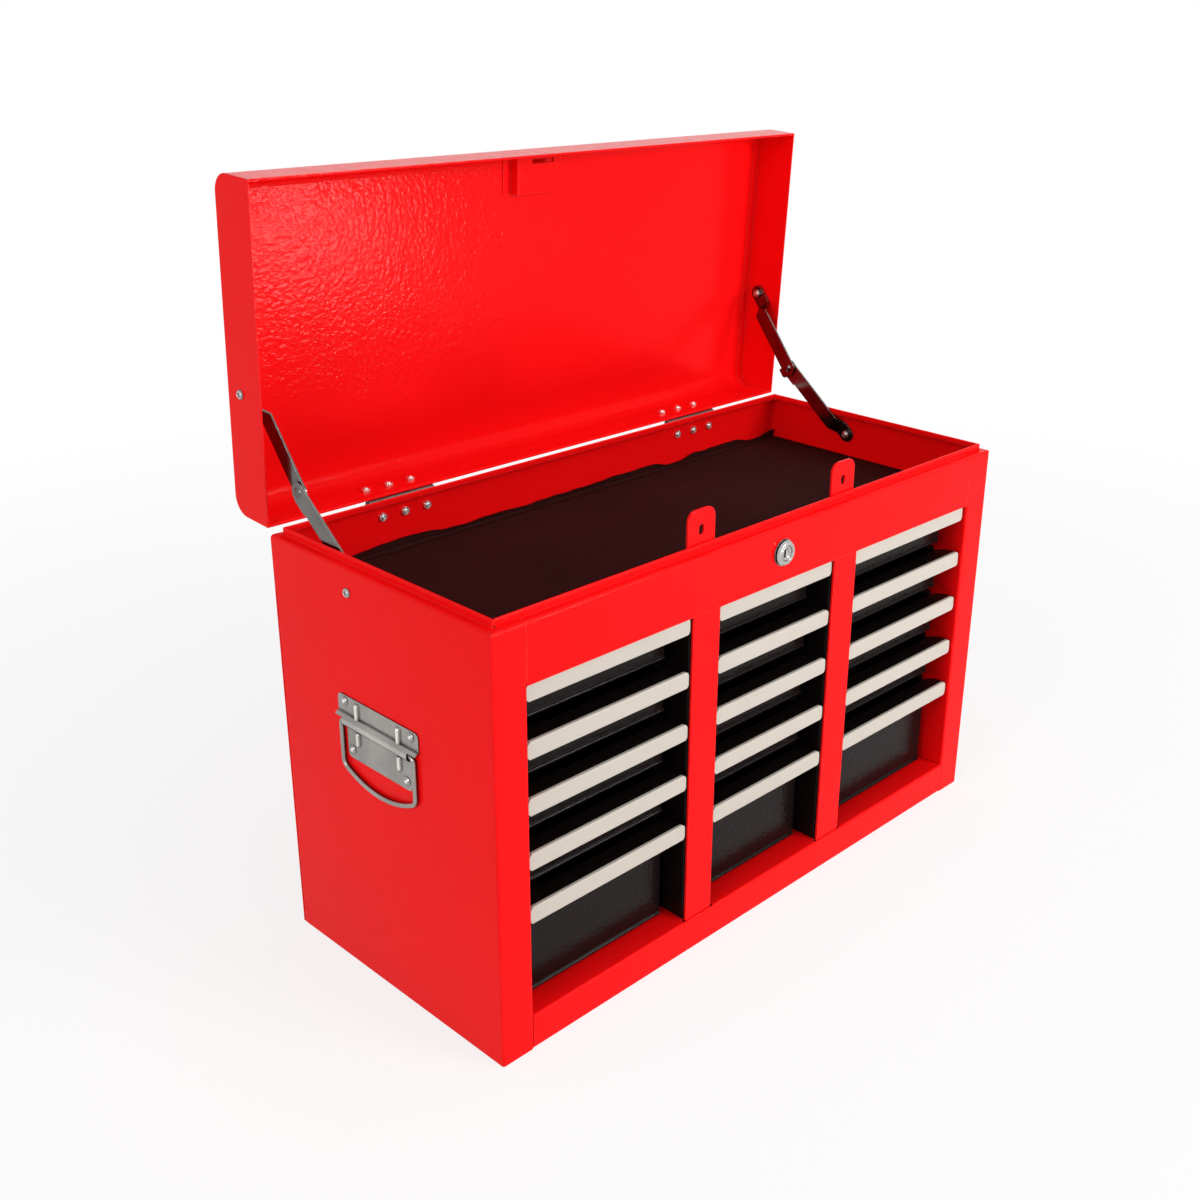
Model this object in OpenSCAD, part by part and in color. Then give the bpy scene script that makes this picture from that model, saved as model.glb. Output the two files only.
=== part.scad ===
// Portable tool box with fifteen drawers, a lift-up lid over a shallow tray,
// folding lid stays, drop-in lock bars and a bail handle at each end.
// Origin: centre of the base. +Z is up and the drawers face -Y.

/* [Cabinet] */
// Outside width of the cabinet
body_w = 600; // [570:1:660]
// Outside depth of the cabinet
body_d = 260; // [240:1:320]
// Height of the cabinet up to the ledge that the lid closes on
body_h = 350; // [345:1:375]
// Thickness of the folded sheet
sheet_t = 1; // [0.8:0.1:1.2]
// Inside radius of the sharp folds
bend_r = 0.8; // [0.5:0.1:1.2]
// Width of the stile at each front corner
stile_w = 30; // [26:1:36]
// Depth of the stile returns, front and back
stile_depth = 60; // [50:1:80]
// Height of the rail below the drawers
bottom_rail_h = 30; // [26:1:36]
// Depth of the fold on top of the bottom rail
bottom_fold = 32; // [28:1:40]
// Height of the rail above the drawers
top_rail_h = 47.5; // [44:0.5:52]
// Width of the ledge around the top
ledge_w = 7; // [6:0.5:8]
// Height of the lip above the ledge
lip_h = 6; // [4:0.5:7]
// Length of the folded-back leg inside the lip
hem_leg = 4.5; // [4:0.5:9]
// Slit left inside a folded hem
hem_gap = 0.2; // [0.1:0.05:0.4]
// Width of a divider post, and of the lock bar in front of it
post_w = 30; // [26:1:34]
// Face of the divider posts behind the cabinet's face
post_set = 5; // [4.6:0.1:8]

/* [Tray] */
// Underside of the tray floor below the ledge
tray_drop = 44; // [43:0.5:46]
// Thickness of the mat without its ribs
mat_t = 2; // [1.5:0.5:3]
// Height of the mat's ribs
rib_h = 1; // [0.5:0.1:1.5]
// Distance between the mat's ribs
rib_pitch = 3.6; // [3:0.1:6]
// Height of the mat's curled back edge
mat_curl = 13; // [8:1:16]
// Rise and fall along the curled edge
mat_wave = 4; // [0:0.5:5]

/* [Drawers] */
// Distance between drawer rows
row_pitch = 45; // [42:0.5:46]
// Height of a pull strip
strip_h = 14.5; // [12:0.5:16]
// Front of the pull strips behind the cabinet's face
strip_set = 3.2; // [3:0.1:4]
// Depth of a pull strip's clip from front to back
strip_d = 2.8; // [2.6:0.1:4]
// Wall of a pull strip
strip_t = 1.5; // [1.2:0.1:1.6]
// Corner radius of a pull strip
strip_r = 4; // [2:0.5:5]
// Rounding of a pull strip's long front edges
strip_edge = 1; // [0.4:0.1:1.2]
// Side gap between a pull strip and its column
strip_gap = 2; // [2:0.5:5]
// Side gap between a drawer's front lip and its column
lip_side = 1; // [0.6:0.1:2]
// Front of the drawer face behind the cabinet's face
face_set = 21.5; // [19:0.5:25]
// Side gap between a drawer pan and its column
pan_gap = 11; // [10:0.5:13]
// Sheet thickness of the drawers
pan_t = 0.8; // [0.6:0.1:1]
// Radius of the roll along the drawer face's lower edge
roll_r = 2; // [1.5:0.1:2.5]
// How far that roll stands in front of the face
roll_step = 1.2; // [0.6:0.1:1.4]
// Gap between a drawer and the next row's pulls
row_gap = 7; // [4:0.5:9]
// Gap between the bottom drawers and the bottom rail
floor_gap = 2; // [1:0.5:4]
// Gap between a drawer's back and the back panel
back_gap = 9; // [6:1:20]
// How far a drawer slides out
drawer_travel = 190; // [100:1:200]
// Drop of the runner edge on a drawer's side
runner_drop = 6; // [5:0.5:8]
// Running clearance of the runners
run_gap = 0.5; // [0.3:0.1:0.8]
// Start of the runner rails behind the cabinet's face
rail_set = 36; // [30:1:44]

/* [Lid] */
// Height of the lid
lid_h = 44; // [40:1:56]
// Radius of the lid's long front and back edges
lid_r = 15; // [8:1:20]
// Gap under the closed lid's rim
lid_gap = 0.5; // [0.3:0.1:1]
// Opening angle of the lid as shown
lid_open = 87; // [80:1:90]
// Depth of the flange inside the lid's ends
end_flange = 8; // [6:1:12]
// Width of the catch bracket
catch_w = 48; // [40:1:56]
// Depth of the catch bracket from front to back
catch_d = 36; // [28:1:44]
// Drop of the catch bracket below the lid's top
catch_h = 9; // [8:0.5:11]

/* [Hinges] */
// Distance of each hinge's middle from the middle of the box
hinge_x = 175; // [120:1:200]
// Length of a hinge
hinge_len = 66; // [50:1:90]
// Radius of the hinge barrel
knuckle_r = 3; // [2.6:0.1:3.6]
// Radius of the hinge pin
pin_r = 1.5; // [1.2:0.1:1.8]
// Radial clearance of the turning lid knuckles on the pin
pin_play = 0.08; // [0.03:0.01:0.1]
// Distance between a hinge's screws
screw_pitch = 22.5; // [15:0.5:24]
// Drop of the body screws below the ledge
body_screw_drop = 10.5; // [9:0.5:12]
// Rise of the lid screws above the rim
lid_screw_rise = 17; // [13:0.5:20]

/* [Stays] */
// Lower pivot of the stay: distance from the back face
stay_b_y = 98; // [92:1:104]
// Lower pivot of the stay: distance below the ledge
stay_b_drop = 19; // [17:1:22]
// Upper pivot of the stay: distance from the lid's back face
stay_a_y = 99; // [95:1:103]
// Upper pivot of the stay: height above the lid's rim
stay_a_h = 27; // [24:1:30]
// Length of the lower link between its pivots
link_1 = 90.5; // [88:0.5:94]
// Length of the upper link between its pivots
link_2 = 84.6; // [82:0.2:88]
// Width of the links
link_w = 15; // [12:0.5:16]
// Thickness of the links
link_t = 1.5; // [1:0.1:1.8]
// Gap between the lip and the lower link
link_gap = 0.6; // [0.4:0.1:1]

/* [Lock] */
// Diameter of the lock's round head
lock_d = 22.5; // [18:0.5:24]
// Height of the lock's head
lock_proud = 4.5; // [4:0.5:8]
// Height of the lock's middle below the ledge
lock_drop = 22; // [19:1:23]
// Radius of the turning core
core_r = 6; // [5:0.5:7]
// Clearance round the turning core
core_play = 0.08; // [0.05:0.01:0.15]
// Width of the hook arm
hook_w = 11; // [8:1:13]

/* [Lock bars] */
// Distance of each lock bar's middle from the middle of the box
bar_x = 87; // [80:1:96]
// Thickness of a lock bar
bar_t = 2; // [1.5:0.1:2.4]
// Front of the lock bars behind the cabinet's face
bar_set = 1.6; // [1.5:0.1:2.2]
// Depth of the bars' feet in the bottom rail
bar_foot = 14; // [8:1:20]
// Height of the tabs above the lip
tab_h = 27; // [20:1:29]
// Corner radius of the tabs
tab_r = 8.5; // [5:0.5:12]
// How far a bar lifts
bar_lift = 20; // [16:1:22]

/* [Handles] */
// Middle of each handle behind the middle of the box
handle_y = 3; // [-10:1:10]
// Height of the bail's pivot
handle_z = 225; // [180:1:260]
// Length of the folded roll
roll_len = 98; // [90:1:120]
// Width of the plate below the roll
plate_w = 79; // [70:1:80]
// Height of the plate above the pivot
plate_up = 20; // [16:1:26]
// Height of the plate below the pivot
plate_down = 31; // [26:1:36]
// Distance between the bail's legs
bail_w = 89; // [86:1:92]
// Drop of the bail below its pivot
bail_drop = 50.5; // [44:0.5:60]
// Radius of the bail's wire
wire_r = 1.9; // [1.8:0.1:2.6]

/* [Hidden] */
$fn = 48;

red = [0.85, 0.06, 0.06];
black = [0.05, 0.05, 0.05];
cream = [0.86, 0.82, 0.78];
zinc = [0.7, 0.7, 0.68];
chrome = [0.85, 0.85, 0.86];

t = sheet_t;
hw = body_w / 2;
yf = -body_d / 2;
yb = body_d / 2;
seam = 0.06;
seam_right = 0.25;
lip_seam = 0.4;
rail_gap = 0.5;
fold_n = 4;
fold_out = bend_r + t;
lip_t = 2 * t + hem_gap;
lip_top = body_h + lip_h;
pan_leg = 12;
slot_play = 0.7;
tray_z = body_h - tray_drop;
ROWS = 5;

// Columns: the middle one lies between the two lock bars
mid_w = 2 * bar_x - post_w;
end_w = hw - stile_w - bar_x - post_w / 2;
col_w = [end_w, mid_w, end_w];
col_x = [-bar_x - post_w / 2 - end_w / 2, 0, bar_x + post_w / 2 + end_w / 2];
function row_top(r) = body_h - top_rail_h - rail_gap - (r - 1) * row_pitch;
function row_bottom(r) = r == ROWS ? bottom_rail_h + floor_gap : row_top(r + 1) + row_gap;
pan_back = yb - t - back_gap;

// Hinge line
axis_y = yb + knuckle_r + 0.3;
axis_z = body_h + 1;
knuckles = 5;
knuckle_gap = 0.4;
leaf_t = 1;
screw_r = 1.9;
head_r = 3.4;
head_h = 1.8;
nut_r = 3.8;
nut_h = 2.4;

// Stay geometry in the y-z plane
rim_z = body_h + lid_gap;
lid_top = rim_z + lid_h;
stay_b = [yb - stay_b_y, body_h - stay_b_drop];
stay_a_closed = [yb - stay_a_y, rim_z + stay_a_h];
function spin(v, a) = [v[0] * cos(a) - v[1] * sin(a), v[0] * sin(a) + v[1] * cos(a)];
hinge_line = [axis_y, axis_z];
stay_a = hinge_line + spin(stay_a_closed - hinge_line, -lid_open);
// Elbow of the two links, on the side that folds to the back
function elbow(b, a) = let (
    d = norm(a - b),
    u = (a - b) / d,
    m = (d * d + link_1 * link_1 - link_2 * link_2) / (2 * d),
    h = sqrt(link_1 * link_1 - m * m)
  ) b + u * m + h * [u[1], -u[0]];
stay_e = elbow(stay_b, stay_a);
function heading(p, q) = atan2(q[1] - p[1], q[0] - p[0]);
lower_angle = heading(stay_b, stay_e);
upper_angle = heading(stay_a, stay_e);
link_in = hw - ledge_w - lip_t - link_gap - link_t / 2;
link_step = 0.3;
link_wall = hw - t - 0.5 - link_t / 2;
pivot_r = 2.5;
pivot_play = 0.1;
elbow_r = 4;
elbow_h = 1.6;
tail = 7;

// Lock
lock_z = body_h - lock_drop;
hook_y = yf + ledge_w + lip_t + 1.2;
hook_t = 2;
lock_bevel = 2.2;
hook_len = lid_top - t - catch_h - lock_z + 5.5;
bar_tab_y = yf + ledge_w + lip_t + 0.4;

// Handle
plate_t = 1;
wire_off = wire_r + 0.35;
roll_in = wire_off + wire_r + 0.3;
roll_out = roll_in + plate_t;
joint_in = 0.15;
joint_proud = 0.05;
bail_top_r = 5;
bail_low_r = 8;
bail_arc = 88.5;
bead_y = 25.4;
bead_r = 3;
rivet_up = [40.6, 15];
rivet_down = [33.6, -23.7];

// ---- Sheet folding -------------------------------------------------------

function unit(v) = v / norm(v);
function left(d) = [-d[1], d[0]];
function pick(r, i) = is_list(r) ? r[i] : r;
// Points of one side of a fold at vertex i of the middle line p
function fold(p, i, r, w, o) = let (
    a = unit(p[i] - p[i - 1]),
    b = unit(p[i + 1] - p[i]),
    s = sign(cross(a, b)),
    turn = acos(a * b),
    rr = pick(r, i) + w / 2,
    c = p[i] - a * rr * tan(turn / 2) + s * rr * left(a)
  ) [for (k = [0:fold_n]) c - s * (rr - s * o) * spin(left(a), s * turn * k / fold_n)];
function flank(p, r, w, o) = let (n = len(p) - 1) concat(
    [p[0] + o * left(unit(p[1] - p[0]))],
    [for (i = [1:1:n - 1]) each fold(p, i, r, w, o)],
    [p[n] + o * left(unit(p[n] - p[n - 1]))]
  );
function backwards(v) = [for (i = [len(v) - 1:-1:0]) v[i]];
// A sheet of thickness w folded along the middle line p
module folded(p, w = t, r = bend_r) {
  polygon(concat(flank(p, r, w, w / 2), backwards(flank(p, r, w, -w / 2))));
}
// 2D (y, z) drawn along x, and 2D (x, z) drawn along y
module along_x(x0, x1) {
  translate([x0, 0, 0]) rotate([90, 0, 90]) linear_extrude(x1 - x0) children();
}
module along_y(y0, y1) {
  translate([0, y1, 0]) rotate([90, 0, 0]) linear_extrude(y1 - y0) children();
}
module box(a, b) {
  translate(a) cube(b - a);
}
module rounded(w, h, r) {
  square([w - 2 * r, h], center = true);
  square([w, h - 2 * r], center = true);
  for (sx = [-1, 1], sy = [-1, 1]) translate([sx * (w / 2 - r), sy * (h / 2 - r)]) circle(r);
}
// n steps of a quarter turn about the point c, from the angle a
function quarter(c, r, a, n) = [
    for (k = [0:n]) c + r * [cos(a + 90 * k / n), sin(a + 90 * k / n)]
  ];
module both() {
  children();
  mirror([1, 0, 0]) children();
}
// Round bar along x or y
module rod_x(x0, x1, r) {
  translate([x0, 0, 0]) rotate([0, 90, 0]) cylinder(h = x1 - x0, r = r);
}
module rod_y(y0, y1, r) {
  translate([0, y1, 0]) rotate([90, 0, 0]) cylinder(h = y1 - y0, r = r);
}
// Low dome of height h on a flat round base of radius r, facing +z, with a root below the base
module dome(r, h, root = 0) {
  k = (r * r + h * h) / (2 * h);
  intersection() {
    translate([0, 0, h - k]) sphere(k);
    translate([0, 0, -root]) cylinder(h = h + root, r = r);
  }
}

// ---- Cabinet -------------------------------------------------------------

// Middle line of ledge, lip and hem; u is the distance in from the outer face
function rim_line(z0) = [
    [t / 2, z0],
    [t / 2, body_h - t / 2],
    [ledge_w + t / 2, body_h - t / 2],
    [ledge_w + t / 2, lip_top - t / 2],
    [ledge_w + t / 2 + t + hem_gap, lip_top - t / 2],
    [ledge_w + t / 2 + t + hem_gap, lip_top - hem_leg]
  ];
rim_folds = [0, bend_r, bend_r, hem_gap / 4, hem_gap / 4, 0];
function flip(p, at, s) = [for (q = p) [at + s * q[0], q[1]]];
module lip_only(at, s) {
  line = rim_line(0);
  p = concat([[line[2][0], body_h - t]], [line[3], line[4], line[5]]);
  folded(flip(p, at, s), r = hem_gap / 4);
}

module side_panel() {
  returns = [
    [hw - stile_w + t / 2, yf + stile_depth],
    [hw - stile_w + t / 2, yf + t / 2],
    [hw - t / 2, yf + t / 2],
    [hw - t / 2, yb - 1.5 * t],
    [hw - stile_w + t / 2, yb - 1.5 * t],
    [hw - stile_w + t / 2, yb - stile_depth]
  ];
  front = [
    [hw - stile_w + t / 2, yf + t / 2],
    [hw - t / 2, yf + t / 2],
    [hw - t / 2, yb - t]
  ];
  bolt = stay_b;
  color(red) difference() {
    union() {
      linear_extrude(tray_z) folded(returns);
      translate([0, 0, tray_z - t]) linear_extrude(tray_drop + t - fold_out)
        folded(concat([[hw - stile_w, yf + t / 2]], [front[1], front[2]]));
      along_y(yf + fold_out, yb - t) folded(flip([
        [t / 2, body_h - 2 * fold_out],
        [t / 2, body_h - t / 2],
        [ledge_w, body_h - t / 2]
      ], hw, -1));
      along_y(yf + ledge_w, yb - ledge_w - lip_t - seam)
        folded(flip(rim_line(body_h - 2 * fold_out), hw, -1), r = rim_folds);
      box(
        [hw - fold_out - 0.4, yf + 0.5, body_h - fold_out - 0.4],
        [hw - 0.5, yf + fold_out + 0.4, body_h - 0.5]
      );
      along_x(hw - stile_w, hw - fold_out) folded([
        [yf + t / 2, body_h - 2 * fold_out],
        [yf + t / 2, body_h - t / 2],
        [yf + ledge_w, body_h - t / 2]
      ]);
    }
    box([0, yf + t, -1], [hw - t, yb - t, t]);
    translate([0, bolt[0], bolt[1]]) rod_x(hw - 2 * t, hw + t, pivot_r + pivot_play);
    for (p = handle_rivet_spots()) translate([0, p[0], p[1]])
      rod_x(hw - 2 * t, hw + t, rivet_r + pivot_play);
  }
}
module side_right() {
  side_panel();
}
module side_left() {
  mirror([1, 0, 0]) side_panel();
}

module back_panel() {
  color(red) difference() {
    union() {
      along_x(-hw + ledge_w + seam, hw - ledge_w - seam)
        folded(flip(rim_line(body_h - 2 * fold_out), yb, -1), r = rim_folds);
      box([-hw, yb - t, 0], [hw, yb, body_h - fold_out]);
    }
    hinge_spots() screw_row(body_h - body_screw_drop) rod_y(yb - 2 * t, yb + t, screw_r + pivot_play);
  }
}

module top_rail() {
  color(red) difference() {
    union() {
      along_x(-hw + stile_w + seam, hw - stile_w - seam_right)
        folded(flip(rim_line(body_h - top_rail_h), yf, 1), r = rim_folds);
      along_x(-hw + ledge_w + lip_t + lip_seam, hw - ledge_w - lip_t - lip_seam) lip_only(yf, 1);
    }
    translate([0, 0, lock_z]) rod_y(yf - t, yf + 2 * t, lock_d / 2 - 1.8);
  }
}

module bottom_pan() {
  slot_y = yf + bar_set + bar_t / 2;
  color(red) difference() {
    union() {
      box([-hw + t, yf + fold_out, 0], [hw - t, yb - t, t]);
      along_x(-hw + stile_w + seam, hw - stile_w - seam_right) folded([
        [yf + pan_leg, t / 2],
        [yf + t / 2, t / 2],
        [yf + t / 2, bottom_rail_h - t / 2],
        [yf + bottom_fold - t / 2, bottom_rail_h - t / 2],
        [yf + bottom_fold - t / 2, bottom_rail_h - pan_leg]
      ]);
      both() box(
        [hw - 2 * t, yf + stile_depth + t, 0],
        [hw - t, yb - stile_depth - t, pan_leg]
      );
    }
    for (s = [-1, 1]) translate([s * bar_x, 0, 0]) hull() {
      for (k = [-1, 1]) translate([k * (post_w / 2 + 2 * slot_play), slot_y, bottom_rail_h - 2 * t])
        cylinder(h = 4 * t, r = bar_t / 2 + slot_play, $fn = 24);
    }
  }
}

module post(s) {
  e = post_w / 2 - t / 2;
  line = [
    [-e + 10, yb - 1.5 * t],
    [-e, yb - 1.5 * t],
    [-e, yf + post_set + t / 2],
    [e, yf + post_set + t / 2],
    [e, yb - 1.5 * t],
    [e - 10, yb - 1.5 * t]
  ];
  color(black) translate([s * bar_x, 0, 0]) difference() {
    translate([0, 0, t]) linear_extrude(tray_z - t) folded(line);
    box([-post_w, yf, -1], [post_w, yf + bottom_fold + 0.2, bottom_rail_h]);
  }
}
module post_left() {
  post(-1);
}
module post_right() {
  post(1);
}

// Channel for one drawer edge; x = 0 at the column wall, opening to -x
module runner_rail(r) {
  top = row_top(r) - strip_t + run_gap + pan_t / 2;
  low = row_top(r) - strip_t - runner_drop - run_gap - pan_t / 2;
  reach = pan_gap - 1;
  along_y(rail_start, yb - 3 * t) folded([
    [-reach, top], [-pan_t / 2, top], [-pan_t / 2, low], [-reach, low]
  ], w = pan_t, r = 0.4);
}
rail_start = yf + rail_set;
module runner_rails() {
  color(zinc) for (c = [0:2], r = [1:ROWS], s = [-1, 1])
    translate([col_x[c] + s * col_w[c] / 2, 0, 0])
      if (s > 0) runner_rail(r);
      else mirror([1, 0, 0]) runner_rail(r);
}

module tray_floor() {
  color(red) difference() {
    box([-hw + t, yf + t + bend_r, tray_z], [hw - t, yb - t, tray_z + t]);
    for (s = [-1, 1]) translate([s * bar_x, 0, 0])
      box([-post_w / 2 - 1, yf, tray_z - 1], [post_w / 2 + 1, yf + bar_set + bar_t + 0.8, tray_z + 2 * t]);
  }
}

mat_z = tray_z + t;
mat_front = yf + t + 1.5;
mat_back = yb - t - 0.5;
// Ribs along x: one rib every rib_pitch from the front to the curl
module mat_section() {
  base = mat_back - 5;
  n = floor((base - mat_front - 2) / rib_pitch);
  line = [
    [mat_front, mat_z + mat_t / 2],
    [mat_back - mat_t / 2, mat_z + mat_t / 2],
    [mat_back - mat_t / 2, mat_z + mat_curl + mat_wave]
  ];
  folded(line, w = mat_t, r = 3);
  for (i = [0:n - 1]) translate([mat_front + 1 + i * rib_pitch, mat_z + mat_t - 0.1])
    polygon([[0, 0], [0.4, rib_h + 0.1], [1.4, rib_h + 0.1], [1.8, 0]]);
}
function wave(u) = mat_wave * (0.55 * sin(u * 900 + 40) + 0.45 * sin(u * 2050));
module tray_mat() {
  reach = hw - t - 1.5;
  top = mat_z + mat_curl;
  steps = 40;
  color([0.08, 0.08, 0.08]) difference() {
    along_x(-reach, reach) mat_section();
    along_y(mat_back - 6, mat_back + 1) polygon(concat(
      [for (i = [0:steps]) [-reach - 1 + i * (2 * reach + 2) / steps, top + wave(i / steps)]],
      [[reach + 1, top + 20], [-reach - 1, top + 20]]
    ));
    for (s = [-1, 1]) translate([s * bar_x, 0, 0])
      box([-post_w / 2 - 3, yf, mat_z - 1], [post_w / 2 + 3, yf + ledge_w + lip_t + bar_t + 3, mat_z + 10]);
  }
}

// ---- Lid, drawn closed and turned to its open position -------------------

module open_lid() {
  translate([0, axis_y, axis_z]) rotate([-lid_open, 0, 0]) translate([0, -axis_y, -axis_z]) children();
}
module lid_outline(i) {
  r = lid_r - i;
  translate([yf + i, rim_z]) square([body_d - 2 * i, lid_h - lid_r]);
  translate([yf + lid_r, rim_z]) square([body_d - 2 * lid_r, lid_h - i]);
  for (y = [yf + lid_r, yb - lid_r]) translate([y, lid_top - lid_r]) circle(r);
}
module lid_shell() {
  reach = hw - t;
  color(red) open_lid() difference() {
    union() {
      along_x(-reach, reach) difference() {
        lid_outline(0);
        lid_outline(t);
        translate([yf + t, rim_z - 1]) square([body_d - 2 * t, 2]);
      }
      for (s = [-1, 1]) along_x(-reach + end_flange + 1, reach - end_flange - 1) folded([
        [s * (yf + t / 2), rim_z + 8],
        [s * (yf + t / 2), rim_z + t / 2],
        [s * (yf + 1.5 * t + hem_gap), rim_z + t / 2],
        [s * (yf + 1.5 * t + hem_gap), rim_z + 8]
      ], r = hem_gap / 4);
    }
    hinge_spots() screw_row(rim_z + lid_screw_rise) rod_y(yb - 2 * t, yb + t, screw_r + pivot_play);
  }
}
module lid_ends() {
  reach = hw - t;
  color(red) open_lid() both() difference() {
    union() {
      along_x(reach, hw) lid_outline(0);
      along_x(reach - end_flange, reach) difference() {
        lid_outline(t);
        lid_outline(2 * t);
        translate([yf + 2 * t, rim_z - 1]) square([body_d - 4 * t, 2]);
      }
    }
    translate([0, stay_a_closed[0], stay_a_closed[1]]) rod_x(reach - t, hw + t, pivot_r + pivot_play);
  }
}
module catch_bracket() {
  high = lid_top - 1.5 * t;
  low = lid_top - t - catch_h + t / 2;
  e = catch_w / 2 - t / 2;
  front = yf + t + 1.5;
  color(red) open_lid() difference() {
    intersection() {
      along_y(front, front + catch_d) folded([
        [-e - 9, high], [-e, high], [-e, low], [e, low], [e, high], [e + 9, high]
      ]);
      along_x(-catch_w, catch_w) lid_outline(t);
    }
    box([-hook_w / 2 - 2, hook_y - 1, low - t], [catch_w, hook_y + hook_t + 1, lid_top - 2.5 * t]);
    box([catch_w / 2 - 3 * t, hook_y - 1, low - t], [catch_w, hook_y + hook_t + 8.5, lid_top - 2.5 * t]);
  }
}

// ---- Hinges and screws ---------------------------------------------------

module hinge_spots() {
  for (s = [-1, 1]) translate([s * hinge_x, 0, 0]) children();
}
module screw_row(z) {
  for (i = [-1:1]) translate([i * screw_pitch, 0, z]) children();
}
// Leaf with its own knuckles, every second one from the first; s is 1 on the lid
module leaf(first, bore, far, s) {
  w = hinge_len / knuckles;
  difference() {
    union() {
      for (i = [first:2:knuckles - 1]) {
        x0 = -hinge_len / 2 + i * w + knuckle_gap / 2;
        x1 = -hinge_len / 2 + (i + 1) * w - knuckle_gap / 2;
        translate([0, axis_y, axis_z]) rod_x(x0, x1, knuckle_r);
        reach = knuckle_r + 1;
        box([x0, yb, s > 0 ? axis_z : axis_z - reach], [x1, yb + leaf_t, s > 0 ? axis_z + reach : axis_z]);
      }
      box(
        [-hinge_len / 2, yb, s > 0 ? axis_z + knuckle_r + knuckle_gap : far],
        [hinge_len / 2, yb + leaf_t, s > 0 ? far : axis_z - knuckle_r - knuckle_gap]
      );
    }
    translate([0, axis_y, axis_z]) rod_x(-hinge_len, hinge_len, bore);
    screw_row(s > 0 ? rim_z + lid_screw_rise : body_h - body_screw_drop)
      rod_y(yb - 1, yb + 2 * leaf_t, screw_r + pivot_play);
  }
}
module hinge_leaves_body() {
  color(zinc) hinge_spots() leaf(0, pin_r, body_h - body_screw_drop - 7, -1);
}
module hinge_leaves_lid() {
  color(zinc) open_lid() hinge_spots() leaf(1, pin_r + pin_play, rim_z + lid_screw_rise + 7, 1);
}
module hinge_pins() {
  color(zinc) hinge_spots() translate([0, axis_y, axis_z]) {
    rod_x(-hinge_len / 2 - 1.2, hinge_len / 2 + 1.2, pin_r);
    for (s = [-1, 1]) translate([s * (hinge_len / 2 + 0.6), 0, 0]) rotate([0, s * 90, 0])
      dome(pin_r + 0.6, 1);
  }
}
// Screw along y: domed head at y1 facing +y, nut at y0 facing -y
module screw_y(y0, y1) {
  rod_y(y0 - nut_h - 1, y1 + head_h / 2, screw_r);
  translate([0, y1, 0]) rotate([-90, 0, 0]) dome(head_r, head_h);
  translate([0, y0, 0]) rotate([90, 0, 0]) cylinder(h = nut_h, r = nut_r, $fn = 6);
}
rivet_r = 2;
// Stud along x through a panel whose outer face is at x = hw
module pivot_stud() {
  inner = link_wall - link_t / 2 - 0.4;
  rod_x(inner - 3.6, hw + 1, pivot_r);
  translate([hw, 0, 0]) rotate([0, 90, 0]) dome(4.6, 2.2);
  rod_x(inner - 2.6, inner, 4.4);
}
module screws_body() {
  color(zinc) {
    hinge_spots() screw_row(body_h - body_screw_drop) screw_y(yb - t, yb + leaf_t);
    both() translate([0, stay_b[0], stay_b[1]]) pivot_stud();
  }
}
module screws_lid() {
  color(zinc) open_lid() {
    hinge_spots() screw_row(rim_z + lid_screw_rise) screw_y(yb - t, yb + leaf_t);
    both() translate([0, stay_a_closed[0], stay_a_closed[1]]) pivot_stud();
  }
}

// ---- Stays ---------------------------------------------------------------

// Link lying along +x from its panel pivot, with a step towards the middle
module link(len, plane, step_at) {
  far = len + link_w;
  line = [
    [-link_w, link_wall], [step_at, link_wall],
    [step_at + 8, plane], [far, plane]
  ];
  difference() {
    intersection() {
      along_y(-link_w, link_w) folded(line, w = link_t, r = 1.5);
      translate([0, 0, hw - 40]) linear_extrude(60) {
        circle(link_w / 2);
        translate([len, 0]) circle(link_w / 2 + 0.5);
        translate([0, -link_w / 2]) square([len, link_w]);
        children();
      }
    }
    translate([0, 0, hw - 40]) cylinder(h = 60, r = pivot_r + pivot_play);
  }
}
module lower_link() {
  plane = link_in;
  link(link_1, plane, 9)
    translate([link_1 - 16, -link_w / 2 - 1.5]) square([16, 3]);
  translate([link_1, 0, plane + link_t / 2]) dome(elbow_r, elbow_h, link_t / 2);
}
module upper_link() {
  plane = link_in - link_t - link_step;
  link(link_2, plane, 14) {
    translate([link_2 - tail / 2, link_w / 2 - tail / 2]) square(tail);
    translate([link_2 + tail / 2, link_w / 2]) circle(tail / 2);
  }
  translate([link_2, 0, plane - link_t / 2]) mirror([0, 0, 1]) dome(elbow_r, elbow_h, link_t / 2);
}
module place_link(p, a) {
  translate([0, p[0], p[1]]) rotate([a, 0, 0]) rotate([90, 0, 90]) children();
}
module stay_lower_right() {
  color(zinc) place_link(stay_b, lower_angle) lower_link();
}
module stay_lower_left() {
  color(zinc) mirror([1, 0, 0]) place_link(stay_b, lower_angle) lower_link();
}
module stay_upper_right() {
  color(zinc) place_link(stay_a, upper_angle) upper_link();
}
module stay_upper_left() {
  color(zinc) mirror([1, 0, 0]) place_link(stay_a, upper_angle) upper_link();
}

// ---- Handles -------------------------------------------------------------

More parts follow.
